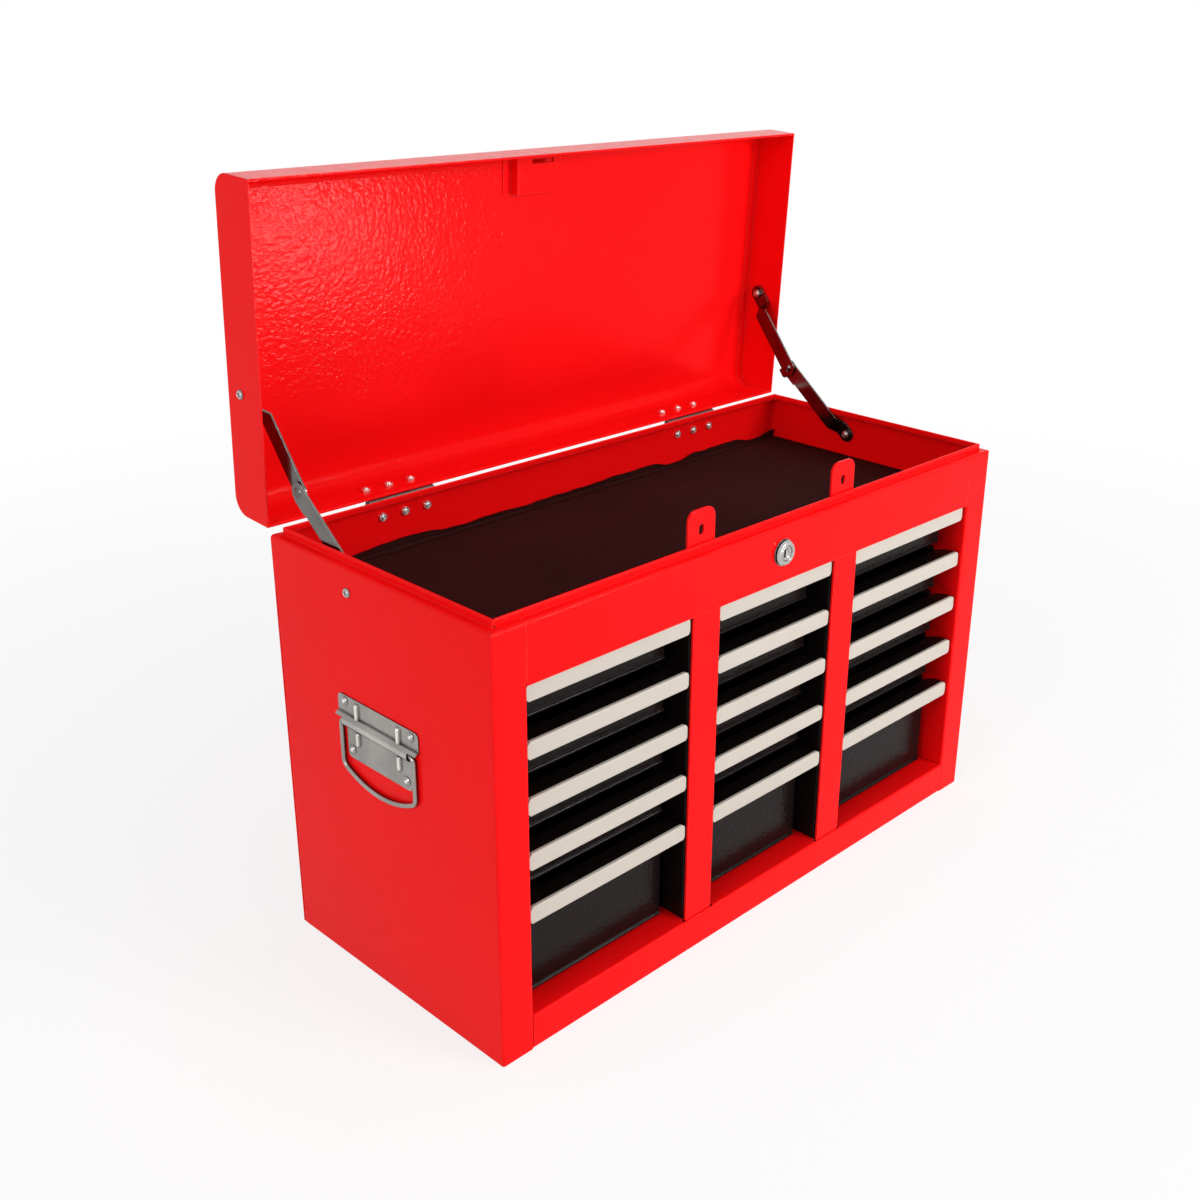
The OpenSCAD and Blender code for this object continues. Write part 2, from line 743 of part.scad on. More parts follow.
function handle_rivet_spots() = [
    for (s = [-1, 1]) each [
      [handle_y + s * rivet_up[0], handle_z + rivet_up[1]],
      [handle_y + s * rivet_down[0], handle_z + rivet_down[1]]
    ]
  ];
module handle_plate() {
  leg = bail_w / 2;
  difference() {
    union() {
      translate([0, handle_y, handle_z]) {
        along_x(hw, hw + plate_t) {
          translate([0, plate_up / 2]) rounded(roll_len, plate_up, 4);
          translate([0, 2]) square([roll_len, 8], center = true);
          translate([0, -plate_down / 2]) rounded(plate_w, plate_down, 4);
          translate([0, -5]) square([plate_w, 10], center = true);
        }
        for (s = [-1, 1], z = [[roll_out - 1, plate_up - 5], [-16, -8.5]])
          intersection() {
            translate([hw + plate_t - 1, s * bead_y, 0]) {
              translate([0, 0, z[0]]) cylinder(h = z[1] - z[0], r = bead_r);
              for (e = z) translate([0, 0, e]) sphere(bead_r);
            }
            box([hw, -roll_len, -plate_down], [hw + 10, roll_len, plate_up]);
          }
      }
      translate([hw, handle_y, handle_z]) intersection() {
        translate([0, -roll_len / 2, 0]) rotate([-90, 0, 0]) cylinder(h = roll_len, r = roll_out);
        box([0, -roll_len, -roll_out], [roll_out, roll_len, roll_out]);
      }
    }
    translate([hw, handle_y - roll_len, handle_z]) rotate([-90, 0, 0])
      cylinder(h = 2 * roll_len, r = roll_in);
    translate([hw, handle_y, handle_z]) for (s = [0, 1]) mirror([0, s, 0])
      box([-1, leg - bail_top_r, -roll_out - 1], [roll_out + 1, roll_len, wire_r + 1]);
    for (p = handle_rivet_spots()) translate([0, p[0], p[1]])
      rod_x(hw - 1, hw + 2 * plate_t, rivet_r + pivot_play);
  }
}
module handle_plates() {
  color(zinc) both() handle_plate();
}
module handle_rivets() {
  color(zinc) both() for (p = handle_rivet_spots()) translate([0, p[0], p[1]]) {
    rod_x(hw - t - 0.5, hw + plate_t + 0.5, rivet_r);
    translate([hw + plate_t, 0, 0]) rotate([0, 90, 0]) dome(3.6, 1.8);
    translate([hw - t, 0, 0]) rotate([0, -90, 0]) dome(3.2, 1.2);
  }
}
// Part of a ring in the y-z plane, from angle a0 to a1 measured from +y
module bow(r, a0, a1) {
  e = joint_in / r * 180 / PI;
  rotate([90, 0, 90]) rotate([0, 0, a0 + e]) rotate_extrude(angle = a1 - a0 - 2 * e)
    translate([r, 0]) circle(wire_r);
}
// The wire's straights and bends meet in balls a hair wider than the wire
module joint(y, z) {
  translate([0, y, z]) sphere(wire_r + joint_proud);
}
module bail() {
  leg = bail_w / 2;
  cz = -bail_drop + bail_arc;
  span = leg - bail_low_r;
  low_z = cz - sqrt(pow(bail_arc - bail_low_r, 2) - span * span);
  lean = atan2(span, cz - low_z);
  end_y = span + bail_low_r * sin(lean);
  end_z = low_z - bail_low_r * cos(lean);
  pivot = leg - bail_top_r;
  translate([hw + wire_off, handle_y, handle_z]) {
    rod_y(-pivot + joint_in, pivot - joint_in, wire_r);
    for (s = [0, 1]) mirror([0, s, 0]) {
      joint(pivot, 0);
      translate([0, pivot, -bail_top_r]) bow(bail_top_r, 0, 90);
      joint(leg, -bail_top_r);
      translate([0, leg, low_z + joint_in]) cylinder(h = -bail_top_r - low_z - 2 * joint_in, r = wire_r);
      joint(leg, low_z);
      translate([0, span, low_z]) bow(bail_low_r, lean - 90, 0);
      joint(end_y, end_z);
    }
    translate([0, 0, cz]) bow(bail_arc, -90 - lean, -90 + lean);
  }
}
module bail_right() {
  color(zinc) bail();
}
module bail_left() {
  color(zinc) mirror([1, 0, 0]) bail();
}

// ---- Lock and lock bars --------------------------------------------------

lock_back = hook_y - 0.3;
module lock_housing() {
  r = lock_d / 2;
  neck = r - 2;
  color(chrome) translate([0, 0, lock_z]) difference() {
    union() {
      translate([0, yf, 0]) rotate([90, 0, 0]) {
        cylinder(h = lock_proud - lock_bevel, r = r);
        translate([0, 0, lock_proud - lock_bevel]) cylinder(h = lock_bevel, r1 = r, r2 = r - lock_bevel);
      }
      rod_y(yf, lock_back - 1, neck);
      translate([0, yf + t + 3.2, 0]) rotate([90, 0, 0]) cylinder(h = 3.2, r = neck + 3.4, $fn = 6);
    }
    rod_y(yf - lock_proud - 1, lock_back + 1, core_r + core_play);
  }
}
module lock_core() {
  front = yf - lock_proud + 0.6;
  tip = hook_len;
  color(chrome) translate([0, 0, lock_z]) {
    difference() {
      rod_y(front, lock_back + 0.3, core_r);
      translate([-0.6, front - 1, -3.4]) cube([1.2, 6, 6.8]);
      translate([0, front, 0]) rod_y(-1, 1.2, 2.2);
    }
    difference() {
      union() {
        rod_y(hook_y, hook_y + hook_t, core_r + 2.5);
        along_y(hook_y, hook_y + hook_t) polygon([
          [0, -core_r - 0.5], [tip - 12, -hook_w / 2 + 1], [tip, -hook_w / 2 + 2],
          [tip, hook_w / 2 - 2], [tip - 12, hook_w / 2 - 1], [0, core_r + 0.5]
        ]);
        box([tip - hook_t, hook_y, -hook_w / 2 + 2], [tip, hook_y + hook_t + 6, hook_w / 2 - 2]);
      }
      translate([0, hook_y + hook_t, 0]) rod_y(-0.6, 1, core_r - 1.5);
    }
    rod_y(hook_y + hook_t - 0.6, hook_y + hook_t + 1.8, core_r - 2);
  }
}

module lock_bar(s) {
  front = yf + bar_set + bar_t / 2;
  back = bar_tab_y + bar_t / 2;
  low = tray_z + 4;
  foot = bottom_rail_h - bar_foot;
  top = lip_top + tab_h;
  line = [
    [front, foot], [front, low],
    [back, low + 12], [back, top]
  ];
  color(red) translate([s * bar_x, 0, 0]) difference() {
    intersection() {
      along_x(-post_w / 2, post_w / 2) folded(line, w = bar_t, r = 1);
      along_y(yf - 1, yf + 40) {
        translate([-post_w / 2, foot]) square([post_w, top - tab_r - foot]);
        translate([-post_w / 2 + tab_r, low]) square([post_w - 2 * tab_r, top - low]);
        for (k = [-1, 1]) translate([k * (post_w / 2 - tab_r), top - tab_r]) circle(tab_r);
      }
    }
    translate([0, 0, lip_top + 10.5]) hull() {
      for (k = [-1, 1]) translate([0, 0, k * 1.5]) rod_y(yf, yf + 30, 3, $fn = 24);
    }
  }
}
module lock_bar_left() {
  lock_bar(-1);
}
module lock_bar_right() {
  lock_bar(1);
}

// ---- Drawers -------------------------------------------------------------

module drawer(c, r) {
  top = row_top(r) - strip_t;
  low = row_bottom(r);
  half = col_w[c] / 2;
  pan = half - pan_gap;
  wide = half - lip_side;
  corner = pan_gap - lip_side;
  front = yf + face_set;
  lip = yf + strip_set + strip_t;
  lip_low = row_top(r) - strip_h + strip_t;
  color(black) translate([col_x[c], 0, 0]) {
    difference() {
      along_x(-pan, pan) {
        translate([front, low]) square([pan_back - front, top - low]);
        translate([front + roll_r - roll_step, low + roll_r]) circle(roll_r);
      }
      box([-pan + pan_t, front + pan_t, low + pan_t], [pan - pan_t, pan_back - pan_t, top + 1]);
    }
    translate([0, 0, top - pan_t]) linear_extrude(pan_t) polygon(concat(
      [[-wide, lip], [wide, lip]],
      quarter([pan, front - corner], corner, 0, 5),
      [[pan, front + pan_t], [-pan, front + pan_t]],
      quarter([-pan, front - corner], corner, 90, 5)
    ));
    box([-wide, lip, lip_low], [wide, lip + pan_t, top]);
    for (k = [0, 1]) mirror([k, 0, 0]) along_y(rail_start - 6, pan_back) folded([
      [pan - pan_t, top - pan_t / 2],
      [half - 2.6, top - pan_t / 2],
      [half - 2.6, top - runner_drop]
    ], w = pan_t, r = 0.4);
  }
}
module pull(c, r) {
  half = col_w[c] / 2 - strip_gap;
  front = yf + strip_set;
  back = front + strip_d;
  top = row_top(r);
  low = top - strip_h;
  color(cream) translate([col_x[c], 0, 0]) intersection() {
    along_x(-half, half) polygon(concat(
      [[back, top]],
      quarter([front + strip_edge, top - strip_edge], strip_edge, 90, 3),
      quarter([front + strip_edge, low + strip_edge], strip_edge, 180, 3),
      [
        [back, low], [back, low + strip_t], [front + strip_t, low + strip_t],
        [front + strip_t, top - strip_t], [back, top - strip_t]
      ]
    ));
    along_y(front - 1, back + 1) translate([0, (top + low) / 2]) rounded(2 * half, strip_h, strip_r);
  }
}

side_left();
side_right();
back_panel();
top_rail();
bottom_pan();
post_left();
post_right();
runner_rails();
tray_floor();
tray_mat();
lid_shell();
lid_ends();
catch_bracket();
hinge_leaves_body();
hinge_leaves_lid();
hinge_pins();
screws_body();
screws_lid();
stay_lower_left();
stay_lower_right();
stay_upper_left();
stay_upper_right();
handle_plates();
handle_rivets();
bail_left();
bail_right();
lock_housing();
lock_core();
lock_bar_left();
lock_bar_right();
drawer(0, 1);  // drawer_left_1
drawer(0, 2);  // drawer_left_2
drawer(0, 3);  // drawer_left_3
drawer(0, 4);  // drawer_left_4
drawer(0, 5);  // drawer_left_5
drawer(1, 1);  // drawer_mid_1
drawer(1, 2);  // drawer_mid_2
drawer(1, 3);  // drawer_mid_3
drawer(1, 4);  // drawer_mid_4
drawer(1, 5);  // drawer_mid_5
drawer(2, 1);  // drawer_right_1
drawer(2, 2);  // drawer_right_2
drawer(2, 3);  // drawer_right_3
drawer(2, 4);  // drawer_right_4
drawer(2, 5);  // drawer_right_5
pull(0, 1);  // pull_left_1
pull(0, 2);  // pull_left_2
pull(0, 3);  // pull_left_3
pull(0, 4);  // pull_left_4
pull(0, 5);  // pull_left_5
pull(1, 1);  // pull_mid_1
pull(1, 2);  // pull_mid_2
pull(1, 3);  // pull_mid_3
pull(1, 4);  // pull_mid_4
pull(1, 5);  // pull_mid_5
pull(2, 1);  // pull_right_1
pull(2, 2);  // pull_right_2
pull(2, 3);  // pull_right_3
pull(2, 4);  // pull_right_4
pull(2, 5);  // pull_right_5
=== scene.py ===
"""Looks for the portable tool box with drawers, laid out as a Blender add-on."""

import math

import bmesh
import bpy
from bpy.props import FloatProperty, FloatVectorProperty, IntProperty, PointerProperty
from mathutils import Euler, Matrix, Vector, noise


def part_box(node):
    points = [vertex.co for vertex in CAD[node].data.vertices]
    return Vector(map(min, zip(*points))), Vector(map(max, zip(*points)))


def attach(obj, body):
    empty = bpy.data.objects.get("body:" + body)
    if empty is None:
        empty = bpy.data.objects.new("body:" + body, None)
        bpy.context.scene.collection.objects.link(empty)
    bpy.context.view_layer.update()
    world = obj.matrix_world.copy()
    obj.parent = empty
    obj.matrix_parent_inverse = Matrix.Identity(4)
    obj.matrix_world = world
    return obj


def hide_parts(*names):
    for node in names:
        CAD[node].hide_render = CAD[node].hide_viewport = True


bl_info = {
    "name": "Portable Tool Box with Drawers",
    "version": (1, 0, 0),
    "blender": (4, 5, 0),
    "location": "3D View > Sidebar > Tool Box",
    "description": "Dresses the tool box with painted sheet, fittings, mat and a studio",
    "category": "Object",
}

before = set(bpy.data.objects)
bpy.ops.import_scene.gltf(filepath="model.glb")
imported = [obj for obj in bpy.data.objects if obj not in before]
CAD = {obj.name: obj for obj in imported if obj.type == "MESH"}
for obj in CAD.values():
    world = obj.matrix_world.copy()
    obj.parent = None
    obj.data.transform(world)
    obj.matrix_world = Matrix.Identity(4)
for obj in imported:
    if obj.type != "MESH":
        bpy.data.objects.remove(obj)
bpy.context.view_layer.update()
MM = 0.001

COLUMNS = ("left", "mid", "right")
ROWS = (1, 2, 3, 4, 5)
RED_SHEET = (
    "side_left", "side_right", "back_panel", "top_rail", "bottom_pan", "tray_floor",
    "lid_shell", "lid_ends", "catch_bracket", "lock_bar_left", "lock_bar_right",
)
BLACK_SHEET = ("post_left", "post_right") + tuple(
    f"drawer_{column}_{row}" for column in COLUMNS for row in ROWS
)
PULLS = tuple(f"pull_{column}_{row}" for column in COLUMNS for row in ROWS)
STAYS = ("stay_lower_left", "stay_lower_right", "stay_upper_left", "stay_upper_right")
HANDLES = ("handle_plates", "bail_left", "bail_right")
SCREWS = ("handle_rivets", "screws_body", "screws_lid")
HINGES = ("hinge_leaves_body", "hinge_leaves_lid", "hinge_pins", "runner_rails")
LOCK = ("lock_housing", "lock_core")

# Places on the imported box, in millimetres
SHEET = 1.0
SIDE_X = 300.0
FRONT_Y = -130.0
HINGE_LINE = Vector((0.0, 133.3, 351.0))
LID_OPEN = 87.0
BACK_INSIDE, LEAF_OUTSIDE = 129.0, 131.0
HINGE_X = 175.0
SCREW_PITCH = 22.5
BODY_SCREW_Z, LID_SCREW_Z = 339.5, 367.5
BODY_STUD, LID_STUD = (32.0, 331.0), (31.0, 377.5)
STUD_INSIDE = 296.6
RIVETS = ((-37.6, 240.0), (43.6, 240.0), (-30.6, 201.3), (36.6, 201.3))
LOCK_Z = 328.0
LOCK_BACK = -119.9
BAR_X = 87.0


# ---- Material helpers ------------------------------------------------------


BLACK = (0.0, 0.0, 0.0, 1.0)
WHITE = (1.0, 1.0, 1.0, 1.0)
# Where the values of a noise node mostly lie
GREY = (0.3, 0.7)
# Cosine between the rounded and the true normal: where an edge starts, and its crest
EDGE_LEAN = (0.995, 0.8)
# Open share of the sky: down in a crevice, and on an open face
OPEN_SHARE = (0.45, 0.97)
# Sideways share of the normal: turned away, and facing outward
OUTWARD_SHARE = (0.6, 0.92)


class Finish:
    """A node material being put together for one real finish."""

    def __init__(self, name):
        self.material = bpy.data.materials.new(name)
        self.material.use_nodes = True
        self.tree = self.material.node_tree
        self.tree.nodes.clear()
        self.place = self.add("ShaderNodeTexCoord").outputs["Object"]

    def add(self, kind, settings=None, **sockets):
        """A node with its settings, and its sockets set to numbers or joined to other sockets."""
        node = self.tree.nodes.new(kind)
        for key, value in (settings or {}).items():
            setattr(node, key, value)
        for key, value in sockets.items():
            self.feed(node.inputs[key.replace("_", " ")], value)
        return node

    def feed(self, socket, value):
        """Joins a socket to another one, or sets it to a number."""
        if isinstance(value, bpy.types.NodeSocket):
            self.tree.links.new(value, socket)
        else:
            socket.default_value = value

    def noise(self, scale, detail=2.0, stretch=None):
        """Grey noise of about 1 / scale metres, stretched where a stretch is given."""
        place = self.place
        if stretch:
            place = self.add("ShaderNodeMapping", Vector=place, Scale=stretch).outputs["Vector"]
        node = self.add("ShaderNodeTexNoise", Vector=place, Scale=scale, Detail=detail)
        return node.outputs["Fac"]

    def span(self, value, low, high, to_low=0.0, to_high=1.0):
        """value from low..high to to_low..to_high, held at both ends."""
        node = self.add(
            "ShaderNodeMapRange", Value=value,
            From_Min=low, From_Max=high, To_Min=to_low, To_Max=to_high,
        )
        return node.outputs["Result"]

    def multiply(self, a, b):
        """The product of two numbers or sockets."""
        node = self.add("ShaderNodeMath", {"operation": "MULTIPLY"})
        self.feed(node.inputs[0], a)
        self.feed(node.inputs[1], b)
        return node.outputs[0]

    def mix(self, share, a, b):
        """a where the share is 0, b where it is 1."""
        node = self.add("ShaderNodeMix", {"data_type": "RGBA"})
        self.feed(node.inputs["Factor"], share)
        self.feed(node.inputs["A"], a)
        self.feed(node.inputs["B"], b)
        return node.outputs["Result"]

    def edges(self, radius):
        """(normal rounded over the sharp edges, how near an edge is: 0 to 1)."""
        rounded = self.add("ShaderNodeBevel", {"samples": 4}, Radius=radius).outputs["Normal"]
        flat = self.add("ShaderNodeNewGeometry").outputs["Normal"]
        dot = self.add("ShaderNodeVectorMath", {"operation": "DOT_PRODUCT"})
        self.feed(dot.inputs[0], rounded)
        self.feed(dot.inputs[1], flat)
        return rounded, self.span(dot.outputs["Value"], *EDGE_LEAN)

    def bump(self, height, depth, normal):
        """The normal, tilted by a height that rises to depth metres."""
        node = self.add("ShaderNodeBump", Height=height, Distance=depth, Normal=normal)
        return node.outputs["Normal"]

    def crevice_shade(self, reach, tone, depth):
        """tone with painted shade: darkened to depth of itself in corners narrower than reach."""
        open_share = self.add(
            "ShaderNodeAmbientOcclusion", {"samples": 6}, Distance=reach
        ).outputs["AO"]
        dark = self.add("ShaderNodeVectorMath", {"operation": "SCALE"}, Scale=depth)
        self.feed(dark.inputs[0], tone)
        return self.mix(self.span(open_share, *OPEN_SHARE), dark.outputs["Vector"], tone)

    def sideways(self, vector):
        """How far a vector goes to the left or right, without its sign."""
        node = self.add("ShaderNodeMath", {"operation": "ABSOLUTE"})
        self.feed(node.inputs[0], self.add("ShaderNodeSeparateXYZ", Vector=vector).outputs["X"])
        return node.outputs[0]

    def by_reach(self, tone, steps):
        """tone, scaled by the (reach, gain) steps along x to either side: painted highlight and
        shade by place.
        """
        reach = self.sideways(self.place)
        low, high = steps[0][0], steps[-1][0]
        ramp = self.add("ShaderNodeValToRGB", Fac=self.span(reach, low, high))
        top = max(gain for _, gain in steps)
        stops = ramp.color_ramp.elements
        while len(stops) < len(steps):
            stops.new(0.5)
        for stop, (x, gain) in zip(stops, steps):
            stop.position = (x - low) / (high - low)
            stop.color = (gain / top, gain / top, gain / top, 1.0)
        scaled = self.add("ShaderNodeVectorMath", {"operation": "SCALE"})
        self.feed(scaled.inputs[0], tone)
        self.feed(scaled.inputs["Scale"], self.multiply(ramp.outputs["Color"], top))
        return scaled.outputs["Vector"]

    def outward(self):
        """1 where the surface faces the box's left or right side, 0 where it turns away."""
        normal = self.add("ShaderNodeNewGeometry").outputs["Normal"]
        return self.span(self.sideways(normal), *OUTWARD_SHARE)

    def surface(self, **sockets):
        """The material, ended by a principled surface with these sockets."""
        shader = self.add("ShaderNodeBsdfPrincipled", **sockets)
        self.add("ShaderNodeOutputMaterial", Surface=shader.outputs["BSDF"])
        return self.material


def rgba(colour, gain=1.0):
    """The colour times the gain, held below full white, with its alpha."""
    return (*(min(1.0, c * gain) for c in colour), 1.0)


# Depth of the paint's slow waves and of the skin under its clear gloss, as shares of the peel
WAVE_SHARE, UNDER_SHARE = 0.1, 0.07


def powder_coat(name, colour, peel, edge_highlight_lift, gloss_ior, gloss_rough):
    """Baked powder paint: orange peel in its gloss, slow changes of tone, painted edge highlights.
    """
    f = Finish(name)
    slow = f.noise(scale=7.0, detail=3.0)
    skin = f.noise(scale=268.0, detail=1.5)
    waves = f.noise(scale=90.0, detail=0.0)
    rounded, edge = f.edges(radius=0.0008)
    tone = f.mix(f.span(slow, *GREY), rgba(colour), rgba(colour, 0.95))
    # Painted highlight: the colour lightened towards white along the edges, broken up by noise
    highlight_breakup = f.span(f.noise(scale=160.0, detail=4.0), 0.42, 0.62, 0.2, 0.6)
    painted_edge_highlight = f.multiply(edge, highlight_breakup)
    highlight_tone = rgba([c + (1 - c) * edge_highlight_lift for c in colour])
    return f.surface(
        Base_Color=f.mix(painted_edge_highlight, tone, highlight_tone),
        Roughness=f.span(waves, *GREY, 0.36, 0.48),
        Normal=f.bump(skin, peel * UNDER_SHARE, rounded),
        IOR=1.06,
        Coat_Weight=1.0,
        Coat_Roughness=gloss_rough,
        Coat_IOR=gloss_ior,
        Coat_Normal=f.bump(waves, peel * WAVE_SHARE, f.bump(skin, peel, rounded)),
    )


def satin_pull(name, colour):
    """Extruded pull strip: lengthwise draw lines, faint handling marks, soft satin, painted edge
    highlight.
    """
    f = Finish(name)
    drawn = f.noise(scale=1400.0, detail=2.0, stretch=(0.01, 1.0, 1.0))
    marks = f.noise(scale=30.0, detail=3.0)
    rounded, edge = f.edges(radius=0.0004)
    tone = f.mix(f.span(marks, 0.35, 0.7), rgba(colour), rgba(colour, 0.97))
    # Painted highlight: the colour lightened along the edges
    return f.surface(
        Base_Color=f.mix(f.multiply(edge, 0.3), tone, rgba(colour, 1.12)),
        Roughness=f.span(marks, *GREY, 0.38, 0.5),
        Normal=f.bump(drawn, 0.00004, rounded),
        IOR=1.4,
    )


# Tone of a handle by its distance from the middle of the box, in metres: painted shade in the
# hollows beside the wall, painted highlights on the beads, the wire and the crest of the roll
HANDLE_PAINTED_LIGHT = (
    (0.3000, 0.5), (0.3009, 0.95), (0.3014, 0.85), (0.3022, 1.5), (0.3029, 2.5), (0.3033, 1.6),
    (0.3037, 0.95), (0.3045, 0.85), (0.3050, 1.0), (0.3054, 1.35),
)


def plated_steel(name, colour, rough, brush, painted_light=(), edge_highlight_gain=1.8, depth=0.3):
    """Zinc plated steel: brushed one way, soft spangle, duller patches; painted edge highlights
    and crevice shade.
    """
    f = Finish(name)
    brushed = f.noise(scale=900.0, detail=3.0, stretch=brush)
    cloud = f.noise(scale=24.0, detail=3.0)
    spangle = f.add("ShaderNodeTexVoronoi", Vector=f.place, Scale=240.0).outputs["Distance"]
    rounded, edge = f.edges(radius=0.0004)
    dull = f.span(cloud, 0.35, 0.7)
    tone = f.mix(dull, rgba(colour, 1.1), rgba(colour, 0.74))
    grain = f.multiply(f.span(spangle, 0.0, 0.6, 0.9), f.span(brushed, *GREY, 0.85))
    shade = f.mix(f.span(grain, 0.75, 1.0, 0.5, 0.0), tone, rgba(colour, 0.62))
    # Painted light by place: the steps' painted highlight and shade on faces turned outward,
    # painted shade on faces turned away
    if painted_light:
        painted_flank_shade = f.mix(0.15, shade, BLACK)
        shade = f.mix(f.outward(), painted_flank_shade, f.by_reach(shade, painted_light))
    # Painted highlight along the edges
    shade = f.mix(f.multiply(edge, 0.7), shade, rgba(colour, edge_highlight_gain))
    # Painted shade in the crevices
    return f.surface(
        Base_Color=f.crevice_shade(0.004, shade, depth),
        Metallic=1.0,
        Roughness=f.span(brushed, 0.25, 0.75, rough - 0.06, rough + 0.08),
        Normal=f.bump(brushed, 0.00003, rounded),
    )


# Tone of the screws by the same distance: painted highlight on the nuts at the hinges, painted
# shade on the studs at the ends
STUD_PAINTED_LIGHT = (
    (0.2900, 1.25), (0.2950, 0.62), (0.3004, 0.5), (0.3011, 0.3), (0.3016, 0.5), (0.3022, 0.7),
)
# Tone of the handle rivets: a painted shadow ring round a dome with a painted highlight
RIVET_PAINTED_LIGHT = ((0.3008, 0.3), (0.3013, 0.75), (0.3017, 0.35), (0.3022, 0.7), (0.3026, 1.0))


def polished_plate(name, colour, rough, reach, depth, painted_light=()):
    """Chrome on die cast: bright, fine turning marks, a little haze; painted edge highlights and
    crevice shade.
    """
    f = Finish(name)
    hairs = f.noise(scale=1500.0, detail=4.0, stretch=(1.0, 0.05, 1.0))
    haze = f.noise(scale=420.0, detail=3.0)
    rounded, edge = f.edges(radius=0.00015)
    tone = f.mix(f.span(haze, *GREY, 0.0, 0.6), rgba(colour), rgba(colour, 0.72))
    # Painted highlight and shade by distance, where steps are given
    if painted_light:
        tone = f.by_reach(tone, painted_light)
    # Painted highlight along the edges
    tone = f.mix(f.multiply(edge, 0.4), tone, rgba(colour, 1.4))
    # Painted shade in the crevices
    return f.surface(
        Base_Color=f.crevice_shade(reach, tone, depth),
        Metallic=1.0,
        Roughness=f.span(haze, *GREY, rough, rough + 0.12),
        Normal=f.bump(hairs, 0.00002, rounded),
    )


def ribbed_rubber(name, colour):
    """Soft mat: matt rubber with a fine woven skin, paler where the weave stands up."""
    f = Finish(name)
    weave = f.noise(scale=700.0, detail=2.0, stretch=(0.5, 1.0, 1.0))
    patches = f.noise(scale=9.0, detail=3.0)
    normal = f.add("ShaderNodeNewGeometry").outputs["Normal"]
    tone = f.mix(f.span(patches, 0.35, 0.65), rgba(colour), rgba(colour, 1.3))
    return f.surface(
        Base_Color=f.mix(f.span(weave, 0.4, 0.75, 0.0, 0.5), tone, rgba(colour, 1.8)),
        Roughness=f.span(weave, *GREY, 0.5, 0.66),
        Normal=f.bump(weave, 0.0002, normal),
        IOR=1.11,
    )


def dress(names, material):
    """Give CAD nodes their finish in every material slot."""
    for name in names:
        mesh = CAD[name].data
        mesh.materials.clear()
        mesh.materials.append(material)


# ---- Mesh helpers ----------------------------------------------------------


# Corners closer than this, in metres, become one
WELD = 1e-7
# Length of a cross recess's arms and its depth, as shares of the arms' half width
CROSS_ARM, CROSS_DEPTH = 4, 1.6


def new_piece(name, bm, material, body, slot, *nodes, crease=28.0):
    """Put a built form into the scene, riding on a body and standing for CAD nodes."""
    mesh = finished(bm, name, crease)
    mesh.materials.append(material)
    piece = bpy.data.objects.new(name, mesh)
    bpy.context.scene.collection.objects.link(piece)
    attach(piece, body)
    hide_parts(*nodes)


def finished(bm, name, crease):
    """The mesh of bm, smooth but for edges that turn more than crease degrees."""
    bmesh.ops.remove_doubles(bm, verts=bm.verts, dist=WELD)
    bmesh.ops.dissolve_degenerate(bm, edges=bm.edges, dist=WELD)
    bmesh.ops.recalc_face_normals(bm, faces=bm.faces)
    for face in bm.faces:
        face.smooth = True
    for edge in bm.edges:
        if len(edge.link_faces) == 2 and edge.calc_face_angle() > math.radians(crease):
            edge.smooth = False
    mesh = bpy.data.meshes.new(name)
    bm.to_mesh(mesh)
    bm.free()
    return mesh


def facing(place, towards):
    """Matrix that puts a turned form's foot at place, in millimetres, and its top towards."""
    turn = Vector(towards).to_track_quat("Z", "Y").to_matrix().to_4x4()
    return Matrix.Translation(Vector(place) * MM) @ turn @ Matrix.Scale(MM, 4)


def cut_flat(radius, flat, angle):
    """Reach of a turned form at an angle, with six faces cut at the distance flat."""
    if not flat or radius <= flat:
        return radius
    sixth = math.pi / 3
    return min(radius, flat / math.cos((angle + sixth / 2) % sixth - sixth / 2))


def turned_row(bm, place, height, radius, flat, sides, cross=0.0):
    """One round of vertices of a turned form."""
    row = []
    for k in range(sides):
        angle = 2 * math.pi * k / sides
        reach = cut_flat(radius, flat, angle)
        x, y = reach * math.cos(angle), reach * math.sin(angle)
        sunk = cross and reach < CROSS_ARM * cross and min(abs(x), abs(y)) < cross
        drop = CROSS_DEPTH * cross if sunk else 0
        row.append(bm.verts.new(place @ Vector((x, y, height - drop))))
    return row


def skin_rows(bm, pairs):
    """Faces between the two rows of each pair."""
    for low, high in pairs:
        for k in range(len(low)):
            m = (k + 1) % len(low)
            bm.faces.new((low[k], low[m], high[m], high[k]))


def ring(bm, place, steps, flat=0.0, sides=72):
    """Ring turned from a closed loop of (height, radius) steps, the last one as the first."""
    rows = [turned_row(bm, place, *step, flat, sides) for step in steps[:-1]]
    skin_rows(bm, zip(rows, rows[1:] + rows[:1]))


def spun(bm, place, steps, flat=0.0, cross=0.0, sides=48):
    """Solid turned from (height, radius) steps; flat cuts six faces, cross sinks a recess."""
    rows = [turned_row(bm, place, *step, flat, sides, cross) for step in steps]
    skin_rows(bm, zip(rows, rows[1:]))
    bm.faces.new(rows[0][::-1])
    bm.faces.new(rows[-1])


